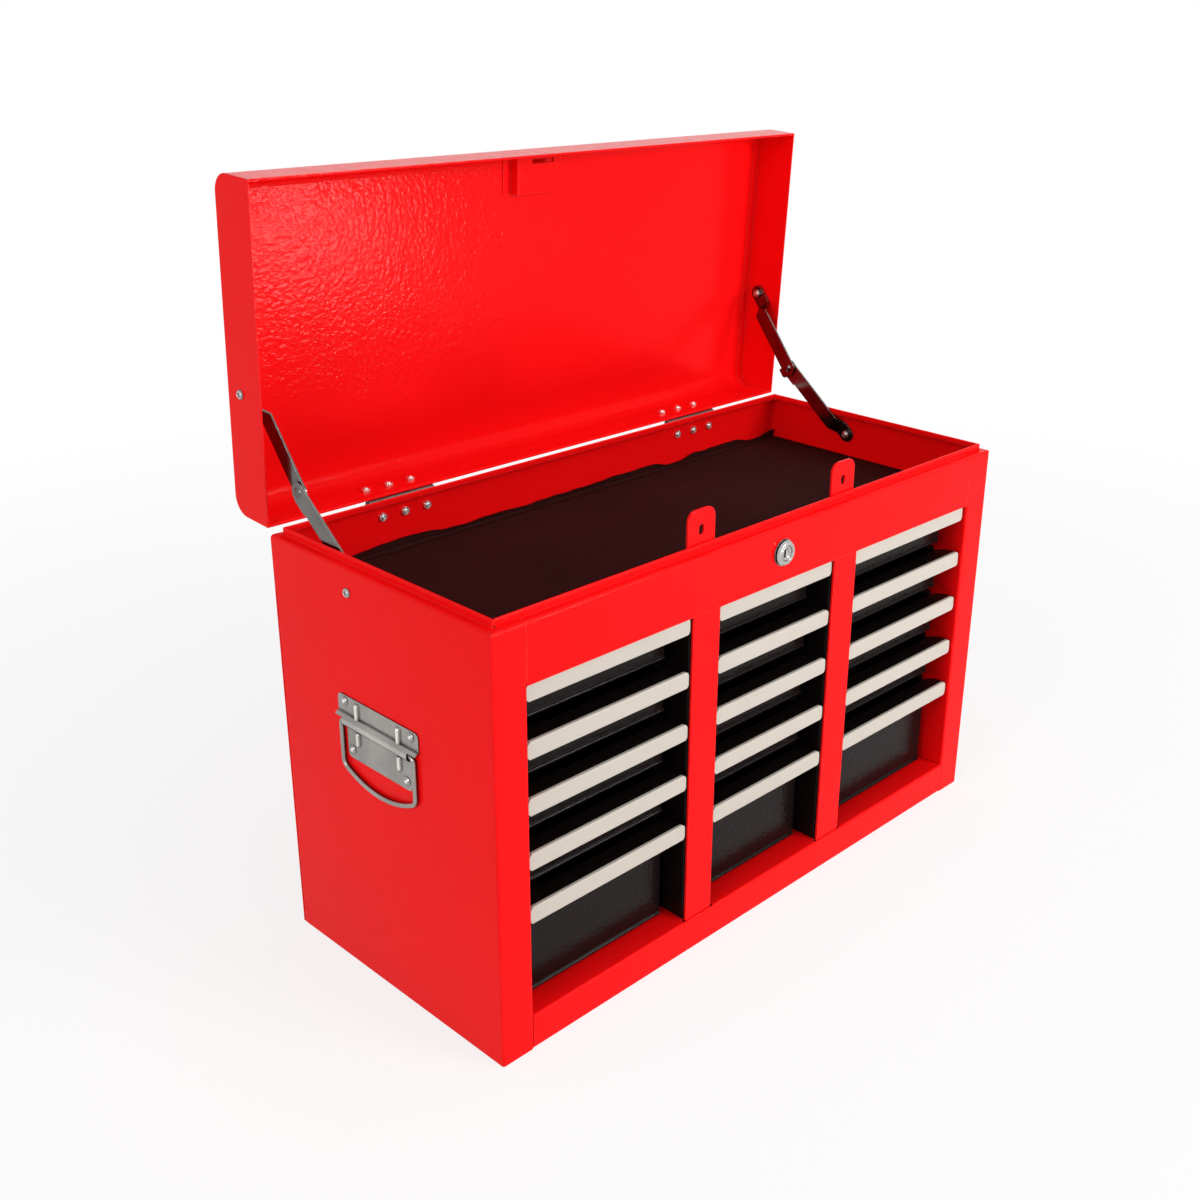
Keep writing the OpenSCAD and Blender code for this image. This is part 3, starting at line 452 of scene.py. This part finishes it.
def slab(bm, outline, y0, y1, soften):
    """Plate with the outline (x, z) between y0 and y1, in millimetres, its edges softened."""
    near = [bm.verts.new(Vector((x, y0, z)) * MM) for x, z in outline]
    far = [bm.verts.new(Vector((x, y1, z)) * MM) for x, z in outline]
    faces = [bm.faces.new(near), bm.faces.new(far[::-1])]
    for k in range(len(outline)):
        m = (k + 1) % len(outline)
        faces.append(bm.faces.new((near[m], near[k], far[k], far[m])))
    rim = [edge for face in faces[:2] for edge in face.edges]
    bmesh.ops.bevel(
        bm, geom=rim, offset=soften * MM, segments=2, profile=0.5, affect="EDGES"
    )


def carved(body, cutter, name):
    """The closed form body with the closed form cutter taken out of it."""
    made = []
    for bm in (body, cutter):
        bmesh.ops.recalc_face_normals(bm, faces=bm.faces)
        mesh = bpy.data.meshes.new(name + "_step")
        bm.to_mesh(mesh)
        bm.free()
        made.append(bpy.data.objects.new(name + "_step", mesh))
        bpy.context.scene.collection.objects.link(made[-1])
    cut = made[0].modifiers.new("cut", "BOOLEAN")
    cut.operation = "DIFFERENCE"
    cut.solver = "EXACT"
    cut.object = made[1]
    result = bmesh.new()
    result.from_object(made[0], bpy.context.evaluated_depsgraph_get())
    for step in made:
        mesh = step.data
        bpy.data.objects.remove(step)
        bpy.data.meshes.remove(mesh)
    return result


# ---- Settings --------------------------------------------------------------


class ToolBoxFinishes(bpy.types.PropertyGroup):
    """Colours and textures of the tool box"""

    paint: FloatVectorProperty(
        name="Paint", description="Colour of the painted cabinet and lid",
        default=(0.93, 0.004, 0.005), subtype="COLOR", min=0.0, max=1.0,
    )
    drawer_paint: FloatVectorProperty(
        name="Drawer paint", description="Colour of the drawers and divider posts",
        default=(0.007, 0.004, 0.004), subtype="COLOR", min=0.0, max=1.0,
    )
    pull: FloatVectorProperty(
        name="Pull strips", description="Colour of the pull strips",
        default=(0.505, 0.459, 0.4), subtype="COLOR", min=0.0, max=1.0,
    )
    zinc: FloatVectorProperty(
        name="Zinc", description="Colour of the plated handles",
        default=(0.40, 0.385, 0.36), subtype="COLOR", min=0.0, max=1.0,
    )
    # The hinges' darker red-brown plate is a painted reflection of the red paint and painted shade
    # on plated steel
    hinge: FloatVectorProperty(
        name="Hinges", description="Colour of the dull plated hinges and drawer runners",
        default=(0.2, 0.165, 0.155), subtype="COLOR", min=0.0, max=1.0,
    )
    # The stays' plate, darker than the handles' zinc, is painted shade on the same plated steel
    stay: FloatVectorProperty(
        name="Stays", description="Colour of the plated lid stays",
        default=(0.165, 0.156, 0.149), subtype="COLOR", min=0.0, max=1.0,
    )
    screw: FloatVectorProperty(
        name="Screws", description="Colour of the bright plated screws, nuts and rivets",
        default=(0.78, 0.76, 0.74), subtype="COLOR", min=0.0, max=1.0,
    )
    chrome: FloatVectorProperty(
        name="Chrome", description="Colour of the lock",
        default=(0.52, 0.51, 0.49), subtype="COLOR", min=0.0, max=1.0,
    )
    # The mat's red tint is a painted reflection of the red walls on dark rubber
    rubber: FloatVectorProperty(
        name="Mat", description="Colour of the tray mat",
        default=(0.022, 0.004, 0.0035), subtype="COLOR", min=0.0, max=1.0,
    )
    peel: FloatProperty(
        name="Orange peel", description="Depth of the paint's orange peel",
        default=0.00036, min=0.0, max=0.0005, precision=6, unit="LENGTH",
    )


class ToolBoxMat(bpy.types.PropertyGroup):
    """Shape of the ribbed tray mat"""

    rib_pitch: FloatProperty(
        name="Rib pitch", description="Distance between the mat's ribs",
        default=0.0036, min=0.002, max=0.008, unit="LENGTH",
    )
    rib_height: FloatProperty(
        name="Rib height", description="Height of the mat's ribs",
        default=0.001, min=0.0, max=0.002, unit="LENGTH",
    )
    thickness: FloatProperty(
        name="Thickness", description="Thickness of the mat below its ribs",
        default=0.002, min=0.001, max=0.004, unit="LENGTH",
    )
    steps: IntProperty(
        name="Steps", description="Mesh columns along the mat",
        default=180, min=20, max=400,
    )


class ToolBoxStage(bpy.types.PropertyGroup):
    """Camera and light"""

    lens: FloatProperty(
        name="Lens", description="Focal length of the camera in millimetres",
        default=43.587, min=20.0, max=120.0, unit="CAMERA",
    )
    sky: FloatProperty(
        name="Sky", description="Strength of the light from all round",
        default=0.45, min=0.0, max=2.0,
    )
    key: FloatProperty(
        name="Key light", description="Power of the large light at the front right",
        default=32.0, min=0.0, max=400.0, unit="POWER",
    )
    fill: FloatProperty(
        name="Fill light", description="Power of the light at the left",
        default=16.0, min=0.0, max=400.0, unit="POWER",
    )
    top: FloatProperty(
        name="Top light", description="Power of the light overhead",
        default=6.0, min=0.0, max=400.0, unit="POWER",
    )
    low: FloatProperty(
        name="Low light", description="Power of the small light low at the front",
        default=10.0, min=0.0, max=100.0, unit="POWER",
    )


class ToolBoxSettings(bpy.types.PropertyGroup):
    """All settings of the tool box"""

    finishes: PointerProperty(type=ToolBoxFinishes)
    mat: PointerProperty(type=ToolBoxMat)
    stage: PointerProperty(type=ToolBoxStage)


# ---- Screws, nuts and rivets -----------------------------------------------


def hinge_screw(bm, x, z, turn):
    """Cross-head screw through the leaf from outside, with a flanged nut inside."""
    head = turn @ facing((x, LEAF_OUTSIDE, z), (0, 1, 0))
    spun(bm, head, (
        (-2.6, 1.9), (0.0, 1.9), (0.0, 3.4), (0.35, 3.35), (0.8, 2.95), (1.2, 2.35),
        (1.5, 1.75), (1.65, 1.3), (1.74, 0.9), (1.78, 0.5), (1.8, 0.2),
    ), cross=0.36)
    nut = turn @ facing((x, BACK_INSIDE, z), (0, -1, 0))
    spun(bm, nut, (
        (0.0, 4.3), (0.45, 4.3), (0.65, 4.0), (0.7, 3.45), (0.95, 3.8), (2.1, 3.8), (2.4, 3.3),
        (2.42, 2.3), (2.3, 1.9), (3.15, 1.9), (3.4, 1.55), (3.4, 0.7), (3.25, 0.4),
    ), flat=3.3)


def stay_stud(bm, side, spot, turn):
    """Rivet with a dimpled head outside, its shank through the link, and a collared nut inside."""
    outside = turn @ facing((side * SIDE_X, *spot), (side, 0, 0))
    spun(bm, outside, (
        (-3.6, 2.5), (0.0, 2.5), (0.0, 3.7), (0.5, 3.8), (1.2, 3.5), (1.8, 2.9), (2.1, 2.4),
        (2.15, 2.1), (1.9, 1.8), (1.2, 1.6), (1.0, 1.2), (0.95, 0.4),
    ))
    inside = turn @ facing((side * STUD_INSIDE, *spot), (-side, 0, 0))
    spun(bm, inside, (
        (0.0, 4.0), (0.3, 4.4), (1.7, 4.4), (2.0, 3.9), (2.05, 3.4), (2.5, 3.3), (2.9, 2.9),
        (3.0, 2.5), (2.9, 2.3), (3.3, 2.2), (3.6, 1.8), (3.6, 0.8), (3.5, 0.4),
    ), flat=3.85)


def screw_set(name, screw_z, stud, body, node, material, turn):
    """Six screws with nuts at each hinge row and a stay stud at each end, on one body."""
    bm = bmesh.new()
    for side in (-1, 1):
        for step in (-1, 0, 1):
            hinge_screw(bm, side * HINGE_X + step * SCREW_PITCH, screw_z, turn)
        stay_stud(bm, side, stud, turn)
    new_piece(name, bm, material, body, "zinc", node)


def handle_rivets(material):
    """Rivets of the handle plates: rolled rim, groove and a low dome."""
    bm = bmesh.new()
    for side in (-1, 1):
        for y, z in RIVETS:
            place = facing((side * (SIDE_X + SHEET), y, z), (side, 0, 0))
            spun(bm, place, (
                (-3.2, 0.6), (-3.1, 1.7), (-2.6, 2.8), (-2.1, 3.2), (-2.0, 3.1), (-2.0, 2.0),
                (0.0, 2.0), (0.0, 3.6), (0.4, 3.6), (0.9, 3.2), (1.1, 2.75), (1.0, 2.4),
                (0.8, 2.2), (1.1, 2.0), (1.55, 1.5), (1.75, 0.9), (1.8, 0.3),
            ))
    new_piece("handle_rivet_set", bm, material, "cabinet", "zinc", "handle_rivets")


def lid_turn():
    """Turns a place drawn on the closed lid to the lid's open rest."""
    pivot = Matrix.Translation(HINGE_LINE * MM)
    return pivot @ Matrix.Rotation(math.radians(-LID_OPEN), 4, "X") @ pivot.inverted()


# ---- Lock ------------------------------------------------------------------


# Lock cam, in millimetres: hub radius, reach and half height of the tip, and its faces along y
HUB, TIP, TIP_HALF = 8.5, 62, 3.5
CAM_FRONT, CAM_BACK, HOOK_BACK = -119.6, -117.6, -111.6


def lock_barrel(material):
    """Chromed lock body: broad bevelled rim, ringed face, threaded neck and six-sided nut."""
    bm = bmesh.new()
    front = facing((0, FRONT_Y, LOCK_Z), (0, -1, 0))
    neck_end = LOCK_BACK - SHEET - FRONT_Y
    bore, root, crest = 6.09, 8.75, 9.2
    steps = [(-neck_end, bore)]
    threads, runout = 9, 0.2
    pitch = (neck_end - 2 * runout) / threads
    for k in range(threads):
        start = -neck_end + runout + k * pitch
        steps += [(start, root), (start + 0.35 * pitch, crest), (start + 0.6 * pitch, crest)]
    steps += [
        (-runout, root), (0.0, 9.0), (0.0, 11.1), (0.15, 11.25), (0.8, 11.25), (0.95, 11.1),
        (1.0, 9.4), (2.4, 9.4), (2.5, 10.6), (2.65, 10.75),
        (4.3, 9.3), (4.45, 9.1), (4.5, 8.9), (4.5, 7.2), (4.3, 7.0), (4.3, 6.75),
        (4.45, 6.6), (4.5, 6.4), (4.4, 6.2), (4.2, 6.1), (-neck_end, bore),
    ]
    ring(bm, front, steps)
    nut = facing((0, FRONT_Y + SHEET, LOCK_Z), (0, 1, 0))
    ring(bm, nut, [
        (0.0, 9.3), (0.0, 12.0), (0.4, 12.65), (2.8, 12.65), (3.2, 12.0), (3.2, 9.3), (0.0, 9.3),
    ], flat=10.95)
    new_piece("lock_barrel", bm, material, "cabinet", "chrome", "lock_housing")


def upright(left, right, half_height):
    """Upright rectangle (x, z) at the height of the lock."""
    low, high = LOCK_Z - half_height, LOCK_Z + half_height
    return [(left, low), (right, low), (right, high), (left, high)]


def lock_plug(material):
    """Turning plug with a dished face and keyway, and the cam that hooks under the lid's catch."""
    front = facing((0, FRONT_Y, LOCK_Z), (0, -1, 0))
    plug_end = CAM_FRONT - FRONT_Y
    plug = bmesh.new()
    spun(plug, front, (
        (-plug_end, 5.9), (-plug_end + 0.2, 6.0), (3.75, 6.0), (3.9, 5.85), (3.9, 4.7), (3.7, 4.4),
        (3.0, 3.6), (2.7, 3.3), (2.6, 2.6), (2.6, 0.5),
    ), sides=72)
    slot = bmesh.new()
    keyway = upright(left=-1.9, right=0.3, half_height=3.2)
    keyway_mouth, keyway_floor = FRONT_Y - 8, FRONT_Y + 1.5
    slab(slot, keyway, keyway_mouth, keyway_floor, soften=0.1)
    bm = carved(plug, slot, "lock_plug")
    half_turn = [math.pi * k / 16 for k in range(1, 16)]
    cam = [(0, -HUB)] + [(-HUB * math.sin(a), -HUB * math.cos(a)) for a in half_turn]
    cam += [
        (0, HUB), (5, 6.6), (50, 4.5), (TIP, TIP_HALF),
        (TIP, -TIP_HALF), (50, -4.5), (5, -6.6),
    ]
    slab(bm, [(x, LOCK_Z + z) for x, z in cam], CAM_FRONT, CAM_BACK, soften=0.25)
    slab(bm, upright(TIP - 2, TIP, TIP_HALF), CAM_BACK - 0.4, HOOK_BACK, soften=0.3)
    nut = facing((0, CAM_BACK, LOCK_Z), (0, 1, 0))
    spun(bm, nut, (
        (-0.1, 4.0), (0.0, 4.6), (0.2, 4.9), (1.1, 4.9), (1.3, 4.5), (1.32, 3.0), (1.2, 2.6),
        (1.6, 2.6), (1.8, 2.3), (1.8, 0.5),
    ), flat=4.3)
    new_piece("lock_plug_and_cam", bm, material, "lock", "chrome", "lock_core")


# ---- Tray mat --------------------------------------------------------------


# Ribs of the mat: (share of the pitch, share of the height)
RIB = ((0.22, 0.0), (0.36, 0.85), (0.55, 1.0), (0.74, 0.85), (0.88, 0.0))
# Room for the curl at the back wall, the curl's inner radius and its gap to the wall
CURL_ROOM, CURL_RADIUS, WALL_GAP = 0.0075, 0.0028, 0.0006
# Crinkles up the inside of the curl, the rounding of its lip and how far the lip stands up
CRINKLE, LIP, LIP_SHARE = 0.0003, 0.0005, 1.04
# Ripple of the whole mat, and how far the curl leans off the wall
RIPPLE, LEAN = 0.00022, 0.0016
# Notches of the mat round the lock bars: half their width, their depth and their corners' width
NOTCH_HALF, NOTCH_DEPTH, HAIR = 0.018, 0.0118, 0.0001
QUARTER_TURN = [math.radians(15 * k) for k in range(7)]


def ragged_top(x, low, curl_from):
    """Height of the curled back edge at x: slow waves, a few torn dips and a fine roughness."""
    top = low.z + 0.0082 + 0.0036 * noise.noise(Vector((x * 9, 3.1, 0.7)))
    top -= 0.0120 * max(0.0, noise.noise(Vector((x * 17, 1.7, 5.2)))) ** 1.5
    top += 0.0009 * noise.noise(Vector((x * 70, 4.4, 2.2)))
    return max(top, curl_from + 0.0004)


def mat_profile(settings, low, high):
    """Loop of (y, z, share of the curl) round the mat: ribbed top, curled back edge, underside."""
    z = low.z + settings.thickness
    pitch, rise = settings.rib_pitch, settings.rib_height
    y = low.y
    flat_end = high.y - CURL_ROOM
    loop = [(y, low.z, 0.0), (y, z, 0.0)]
    while y + pitch < flat_end:
        loop += [(y + pitch * share, z + rise * lift, 0.0) for share, lift in RIB]
        y += pitch
    turn = CURL_RADIUS
    wall = high.y - WALL_GAP
    back = wall - settings.thickness
    for a in QUARTER_TURN:
        loop.append((back - turn + turn * math.sin(a), z + turn - turn * math.cos(a), 0.0))
    for k in range(1, 9):
        loop.append((back + CRINKLE * (1 if k % 2 else -1), z + turn, k / 8))
    loop += [(back + LIP, z + turn, LIP_SHARE), (wall - LIP, z + turn, LIP_SHARE)]
    loop += [(wall, z + turn, k / 4) for k in range(4, -1, -1)]
    reach = turn + settings.thickness
    for a in QUARTER_TURN[-2::-1]:
        loop.append((back - turn + reach * math.sin(a), z + turn - reach * math.cos(a), 0.0))
    return loop, z + turn


def build_mat(settings, material):
    """The ribbed mat: ribs along the box, slightly wavy, with its back edge curled up the wall."""
    low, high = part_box("tray_mat")
    loop, curl_from = mat_profile(settings, low, high)
    notch_y = low.y + NOTCH_DEPTH
    notches = [side * BAR_X * MM + end * NOTCH_HALF for side in (-1, 1) for end in (-1, 1)]
    xs = {low.x + (high.x - low.x) * i / settings.steps for i in range(settings.steps + 1)}
    xs |= {x + hair for x in notches for hair in (-HAIR, HAIR)}
    bm = bmesh.new()
    rows = []
    for x in sorted(xs):
        top = ragged_top(x, low, curl_from)
        notched = abs(abs(x) - BAR_X * MM) < NOTCH_HALF
        row = []
        for y, z, share in loop:
            ripple = RIPPLE * noise.noise(Vector((x * 24, y * 60, 0.0)))
            lean = -LEAN * share * (1 + noise.noise(Vector((x * 14, 9.0, 2.0))))
            lift = (top - curl_from) * share
            if notched and y < notch_y:
                y, z = notch_y, min(z, low.z + settings.thickness)
            if z < low.z + HAIR:
                ripple = 0
            row.append(bm.verts.new((x, y + lean, z + lift + ripple)))
        rows.append(row)
    count = len(loop)
    for a, b in zip(rows, rows[1:]):
        for k in range(count):
            m = (k + 1) % count
            bm.faces.new((a[k], b[k], b[m], a[m]))
    bm.faces.new(rows[0])
    bm.faces.new(rows[-1][::-1])
    new_piece(
        "tray_mat_ribbed", bm, material, "cabinet", "rubber_mat", "tray_mat", crease=60.0
    )


# ---- Operators -------------------------------------------------------------


class TOOLBOX_OT_painted_sheet(bpy.types.Operator):
    """Powder coat the cabinet, the lid and the lock bars"""

    bl_idname = "tool_box.painted_sheet"
    bl_label = "Painted Sheet"

    def execute(self, context):
        s = context.scene.tool_box.finishes
        red = powder_coat(
            "red_powder_coat", s.paint, s.peel, edge_highlight_lift=0.12, gloss_ior=1.11, gloss_rough=0.13
        )
        dress(RED_SHEET, red)
        return {"FINISHED"}


class TOOLBOX_OT_drawers(bpy.types.Operator):
    """Paint the drawers and posts black and give the pull strips their satin"""

    bl_idname = "tool_box.drawers"
    bl_label = "Drawers"

    def execute(self, context):
        s = context.scene.tool_box.finishes
        black = powder_coat(
            "black_powder_coat", s.drawer_paint, s.peel,
            edge_highlight_lift=0.03, gloss_ior=1.18, gloss_rough=0.16,
        )
        dress(BLACK_SHEET, black)
        dress(PULLS, satin_pull("satin_pull", s.pull))
        return {"FINISHED"}


class TOOLBOX_OT_fittings(bpy.types.Operator):
    """Plate the stays, handles, hinges and runners"""

    bl_idname = "tool_box.fittings"
    bl_label = "Plated Fittings"

    def execute(self, context):
        s = context.scene.tool_box.finishes
        stay = plated_steel(
            "plated_stay", s.stay, rough=0.16, brush=(1.0, 0.05, 0.05), edge_highlight_gain=4.0
        )
        handle = plated_steel(
            "plated_handle", s.zinc, rough=0.24, brush=(0.05, 0.05, 1.0),
            painted_light=HANDLE_PAINTED_LIGHT, edge_highlight_gain=1.25, depth=0.1,
        )
        hinge = plated_steel("plated_hinge", s.hinge, rough=0.28, brush=(0.05, 1.0, 1.0))
        dress(STAYS, stay)
        dress(HANDLES, handle)
        dress(HINGES, hinge)
        return {"FINISHED"}


class TOOLBOX_OT_screws(bpy.types.Operator):
    """Make the hinge screws and nuts, the stay studs and the handle rivets"""

    bl_idname = "tool_box.screws"
    bl_label = "Screws, Nuts and Rivets"

    def execute(self, context):
        s = context.scene.tool_box.finishes
        bright = polished_plate(
            "bright_plated_rivet", s.screw, rough=0.2, reach=0.0012, depth=0.3,
            painted_light=RIVET_PAINTED_LIGHT,
        )
        screws = polished_plate(
            "plated_screw", s.screw, rough=0.3, reach=0.0005, depth=0.4, painted_light=STUD_PAINTED_LIGHT
        )
        dress(SCREWS, bright)
        screw_set(
            "cabinet_screw_set", BODY_SCREW_Z, BODY_STUD, "cabinet", "screws_body", screws,
            Matrix.Identity(4),
        )
        screw_set(
            "lid_screw_set", LID_SCREW_Z, LID_STUD, "lid", "screws_lid", screws, lid_turn()
        )
        handle_rivets(bright)
        return {"FINISHED"}


class TOOLBOX_OT_lock(bpy.types.Operator):
    """Make the chromed lock with its plug, keyway and hook cam"""

    bl_idname = "tool_box.lock"
    bl_label = "Lock"

    def execute(self, context):
        s = context.scene.tool_box.finishes
        chrome = polished_plate("lock_chrome", s.chrome, rough=0.14, reach=0.003, depth=0.06)
        dress(LOCK, chrome)
        lock_barrel(chrome)
        lock_plug(chrome)
        return {"FINISHED"}


class TOOLBOX_OT_tray_mat(bpy.types.Operator):
    """Lay the ribbed mat in the tray"""

    bl_idname = "tool_box.tray_mat"
    bl_label = "Tray Mat"

    def execute(self, context):
        s = context.scene.tool_box
        material = ribbed_rubber("mat_rubber", s.finishes.rubber)
        dress(("tray_mat",), material)
        build_mat(s.mat, material)
        return {"FINISHED"}


# ---- Stage -----------------------------------------------------------------


# Lamps of the stage, each with its size, place and what it looks at, in metres
BOX_MIDDLE, LID_INSIDE = (0, 0, 0.3), (-0.24, 0.17, 0.48)
LAMPS = (
    ("key", (1.0, 0.8), (0.7, -2.3, 1.3), BOX_MIDDLE),
    ("fill", (0.8, 0.8), (-2.3, -0.5, 1.1), BOX_MIDDLE),
    ("top", (1.2, 0.8), (0.1, -0.2, 2.3), BOX_MIDDLE),
    ("low", (0.4, 0.16), (0.85, -1.6, 0.1), LID_INSIDE),
)
# Floor paper: its reach, its tone where light falls on it, and how white it looks by distance
FLOOR_RADIUS, FLOOR_DROP, PAPER = 9.0, 0.0005, (0.93, 0.93, 0.93, 1.0)
NEAR, FAR, NEAR_WHITE, FAR_WHITE = 0.45, 1.6, 0.78, 1.0
# Camera as solved from the box's corners: place in metres, turn in degrees, shift of the frame
CAMERA_PLACE = (-0.84966, -0.79911, 0.73744)
CAMERA_TURN = (68.117, -0.923, -46.150)
CAMERA_SHIFT = (-0.0481, -0.0192)
SENSOR = 36.0


def area_light(name, power, size, place, aim):
    """Rectangular lamp at a place, turned to its aim and out of the camera's sight."""
    data = bpy.data.lights.new(name, "AREA")
    data.shape = "RECTANGLE"
    data.size, data.size_y = size
    data.energy = power
    lamp = bpy.data.objects.new(name, data)
    lamp.location = place
    lamp.rotation_euler = (Vector(aim) - Vector(place)).to_track_quat("-Z", "Y").to_euler()
    lamp.visible_camera = False
    bpy.context.scene.collection.objects.link(lamp)


def seen_directly(tree):
    """1 for what the camera, a mirror or glass sees, and 0 for what only lights the object."""
    path = tree.nodes.new("ShaderNodeLightPath")
    total = path.outputs["Is Camera Ray"]
    for name in ("Is Glossy Ray", "Is Transmission Ray"):
        either = tree.nodes.new("ShaderNodeMath")
        either.operation = "MAXIMUM"
        tree.links.new(total, either.inputs[0])
        tree.links.new(path.outputs[name], either.inputs[1])
        total = either.outputs[0]
    return total


class TOOLBOX_OT_stage(bpy.types.Operator):
    """Set the floor, the studio light and the camera"""

    bl_idname = "tool_box.stage"
    bl_label = "Stage"

    def execute(self, context):
        scene = context.scene
        s = scene.tool_box.stage
        self.floor()
        self.world(scene, s.sky)
        for name, size, place, aim in LAMPS:
            area_light(name + "_light", getattr(s, name), size, place, aim)
        self.camera(scene, s.lens)
        return {"FINISHED"}

    def floor(self):
        """White paper under the box, shaded near it and plain white far from it."""
        bm = bmesh.new()
        bmesh.ops.create_circle(bm, cap_ends=True, segments=96, radius=FLOOR_RADIUS)
        mesh = bpy.data.meshes.new("floor")
        bm.to_mesh(mesh)
        bm.free()
        floor = bpy.data.objects.new("floor", mesh)
        floor.location.z = -FLOOR_DROP
        bpy.context.scene.collection.objects.link(floor)
        f = Finish("floor_paper")
        reach = f.add("ShaderNodeVectorMath", {"operation": "LENGTH"})
        f.feed(reach.inputs[0], f.place)
        white = f.span(reach.outputs["Value"], NEAR, FAR, NEAR_WHITE, FAR_WHITE)
        both = f.add("ShaderNodeMixShader")
        f.feed(both.inputs[0], f.multiply(seen_directly(f.tree), white))
        f.feed(both.inputs[1], f.add("ShaderNodeBsdfDiffuse", Color=PAPER).outputs[0])
        f.feed(both.inputs[2], f.add("ShaderNodeEmission").outputs[0])
        f.add("ShaderNodeOutputMaterial", Surface=both.outputs[0])
        mesh.materials.append(f.material)

    def world(self, scene, strength):
        """Soft light from all round, plain white where it is seen."""
        world = bpy.data.worlds.new("studio")
        scene.world = world
        world.use_nodes = True
        tree = world.node_tree
        sky = tree.nodes["Background"]
        sky.inputs["Color"].default_value = WHITE
        level = tree.nodes.new("ShaderNodeMapRange")
        level.inputs["To Min"].default_value = strength
        level.inputs["To Max"].default_value = 1.0
        tree.links.new(seen_directly(tree), level.inputs["Value"])
        tree.links.new(level.outputs["Result"], sky.inputs["Strength"])

    def camera(self, scene, lens):
        """Camera of the photograph's view."""
        data = bpy.data.cameras.new("camera")
        data.sensor_width = SENSOR
        data.lens = lens
        data.shift_x, data.shift_y = CAMERA_SHIFT
        camera = bpy.data.objects.new("camera", data)
        camera.location = CAMERA_PLACE
        camera.rotation_euler = Euler(math.radians(angle) for angle in CAMERA_TURN)
        scene.collection.objects.link(camera)
        scene.camera = camera
        scene.view_settings.view_transform = "Standard"


# ---- Panel and registration ------------------------------------------------


class TOOLBOX_PT_panel(bpy.types.Panel):
    """Shows the tool box's settings and a button for each step"""

    bl_label = "Tool Box"
    bl_idname = "TOOLBOX_PT_panel"
    bl_space_type = "VIEW_3D"
    bl_region_type = "UI"
    bl_category = "Tool Box"

    def draw(self, context):
        layout = self.layout
        settings = context.scene.tool_box
        for group in (settings.finishes, settings.mat, settings.stage):
            box = layout.box()
            for key in group.__annotations__:
                box.prop(group, key)
        for operator in OPERATORS:
            layout.operator(operator.bl_idname)


OPERATORS = (
    TOOLBOX_OT_painted_sheet,
    TOOLBOX_OT_drawers,
    TOOLBOX_OT_fittings,
    TOOLBOX_OT_screws,
    TOOLBOX_OT_lock,
    TOOLBOX_OT_tray_mat,
    TOOLBOX_OT_stage,
)
CLASSES = (
    ToolBoxFinishes, ToolBoxMat, ToolBoxStage, ToolBoxSettings, *OPERATORS, TOOLBOX_PT_panel,
)


def register():
    for cls in CLASSES:
        bpy.utils.register_class(cls)
    bpy.types.Scene.tool_box = PointerProperty(type=ToolBoxSettings)


def unregister():
    del bpy.types.Scene.tool_box
    for cls in reversed(CLASSES):
        bpy.utils.unregister_class(cls)


def main():
    """Registers the add-on, dresses the box and sets the stage."""
    register()
    for operator in OPERATORS:
        group, name = operator.bl_idname.split(".")
        getattr(getattr(bpy.ops, group), name)()


if __name__ == "__main__":
    main()
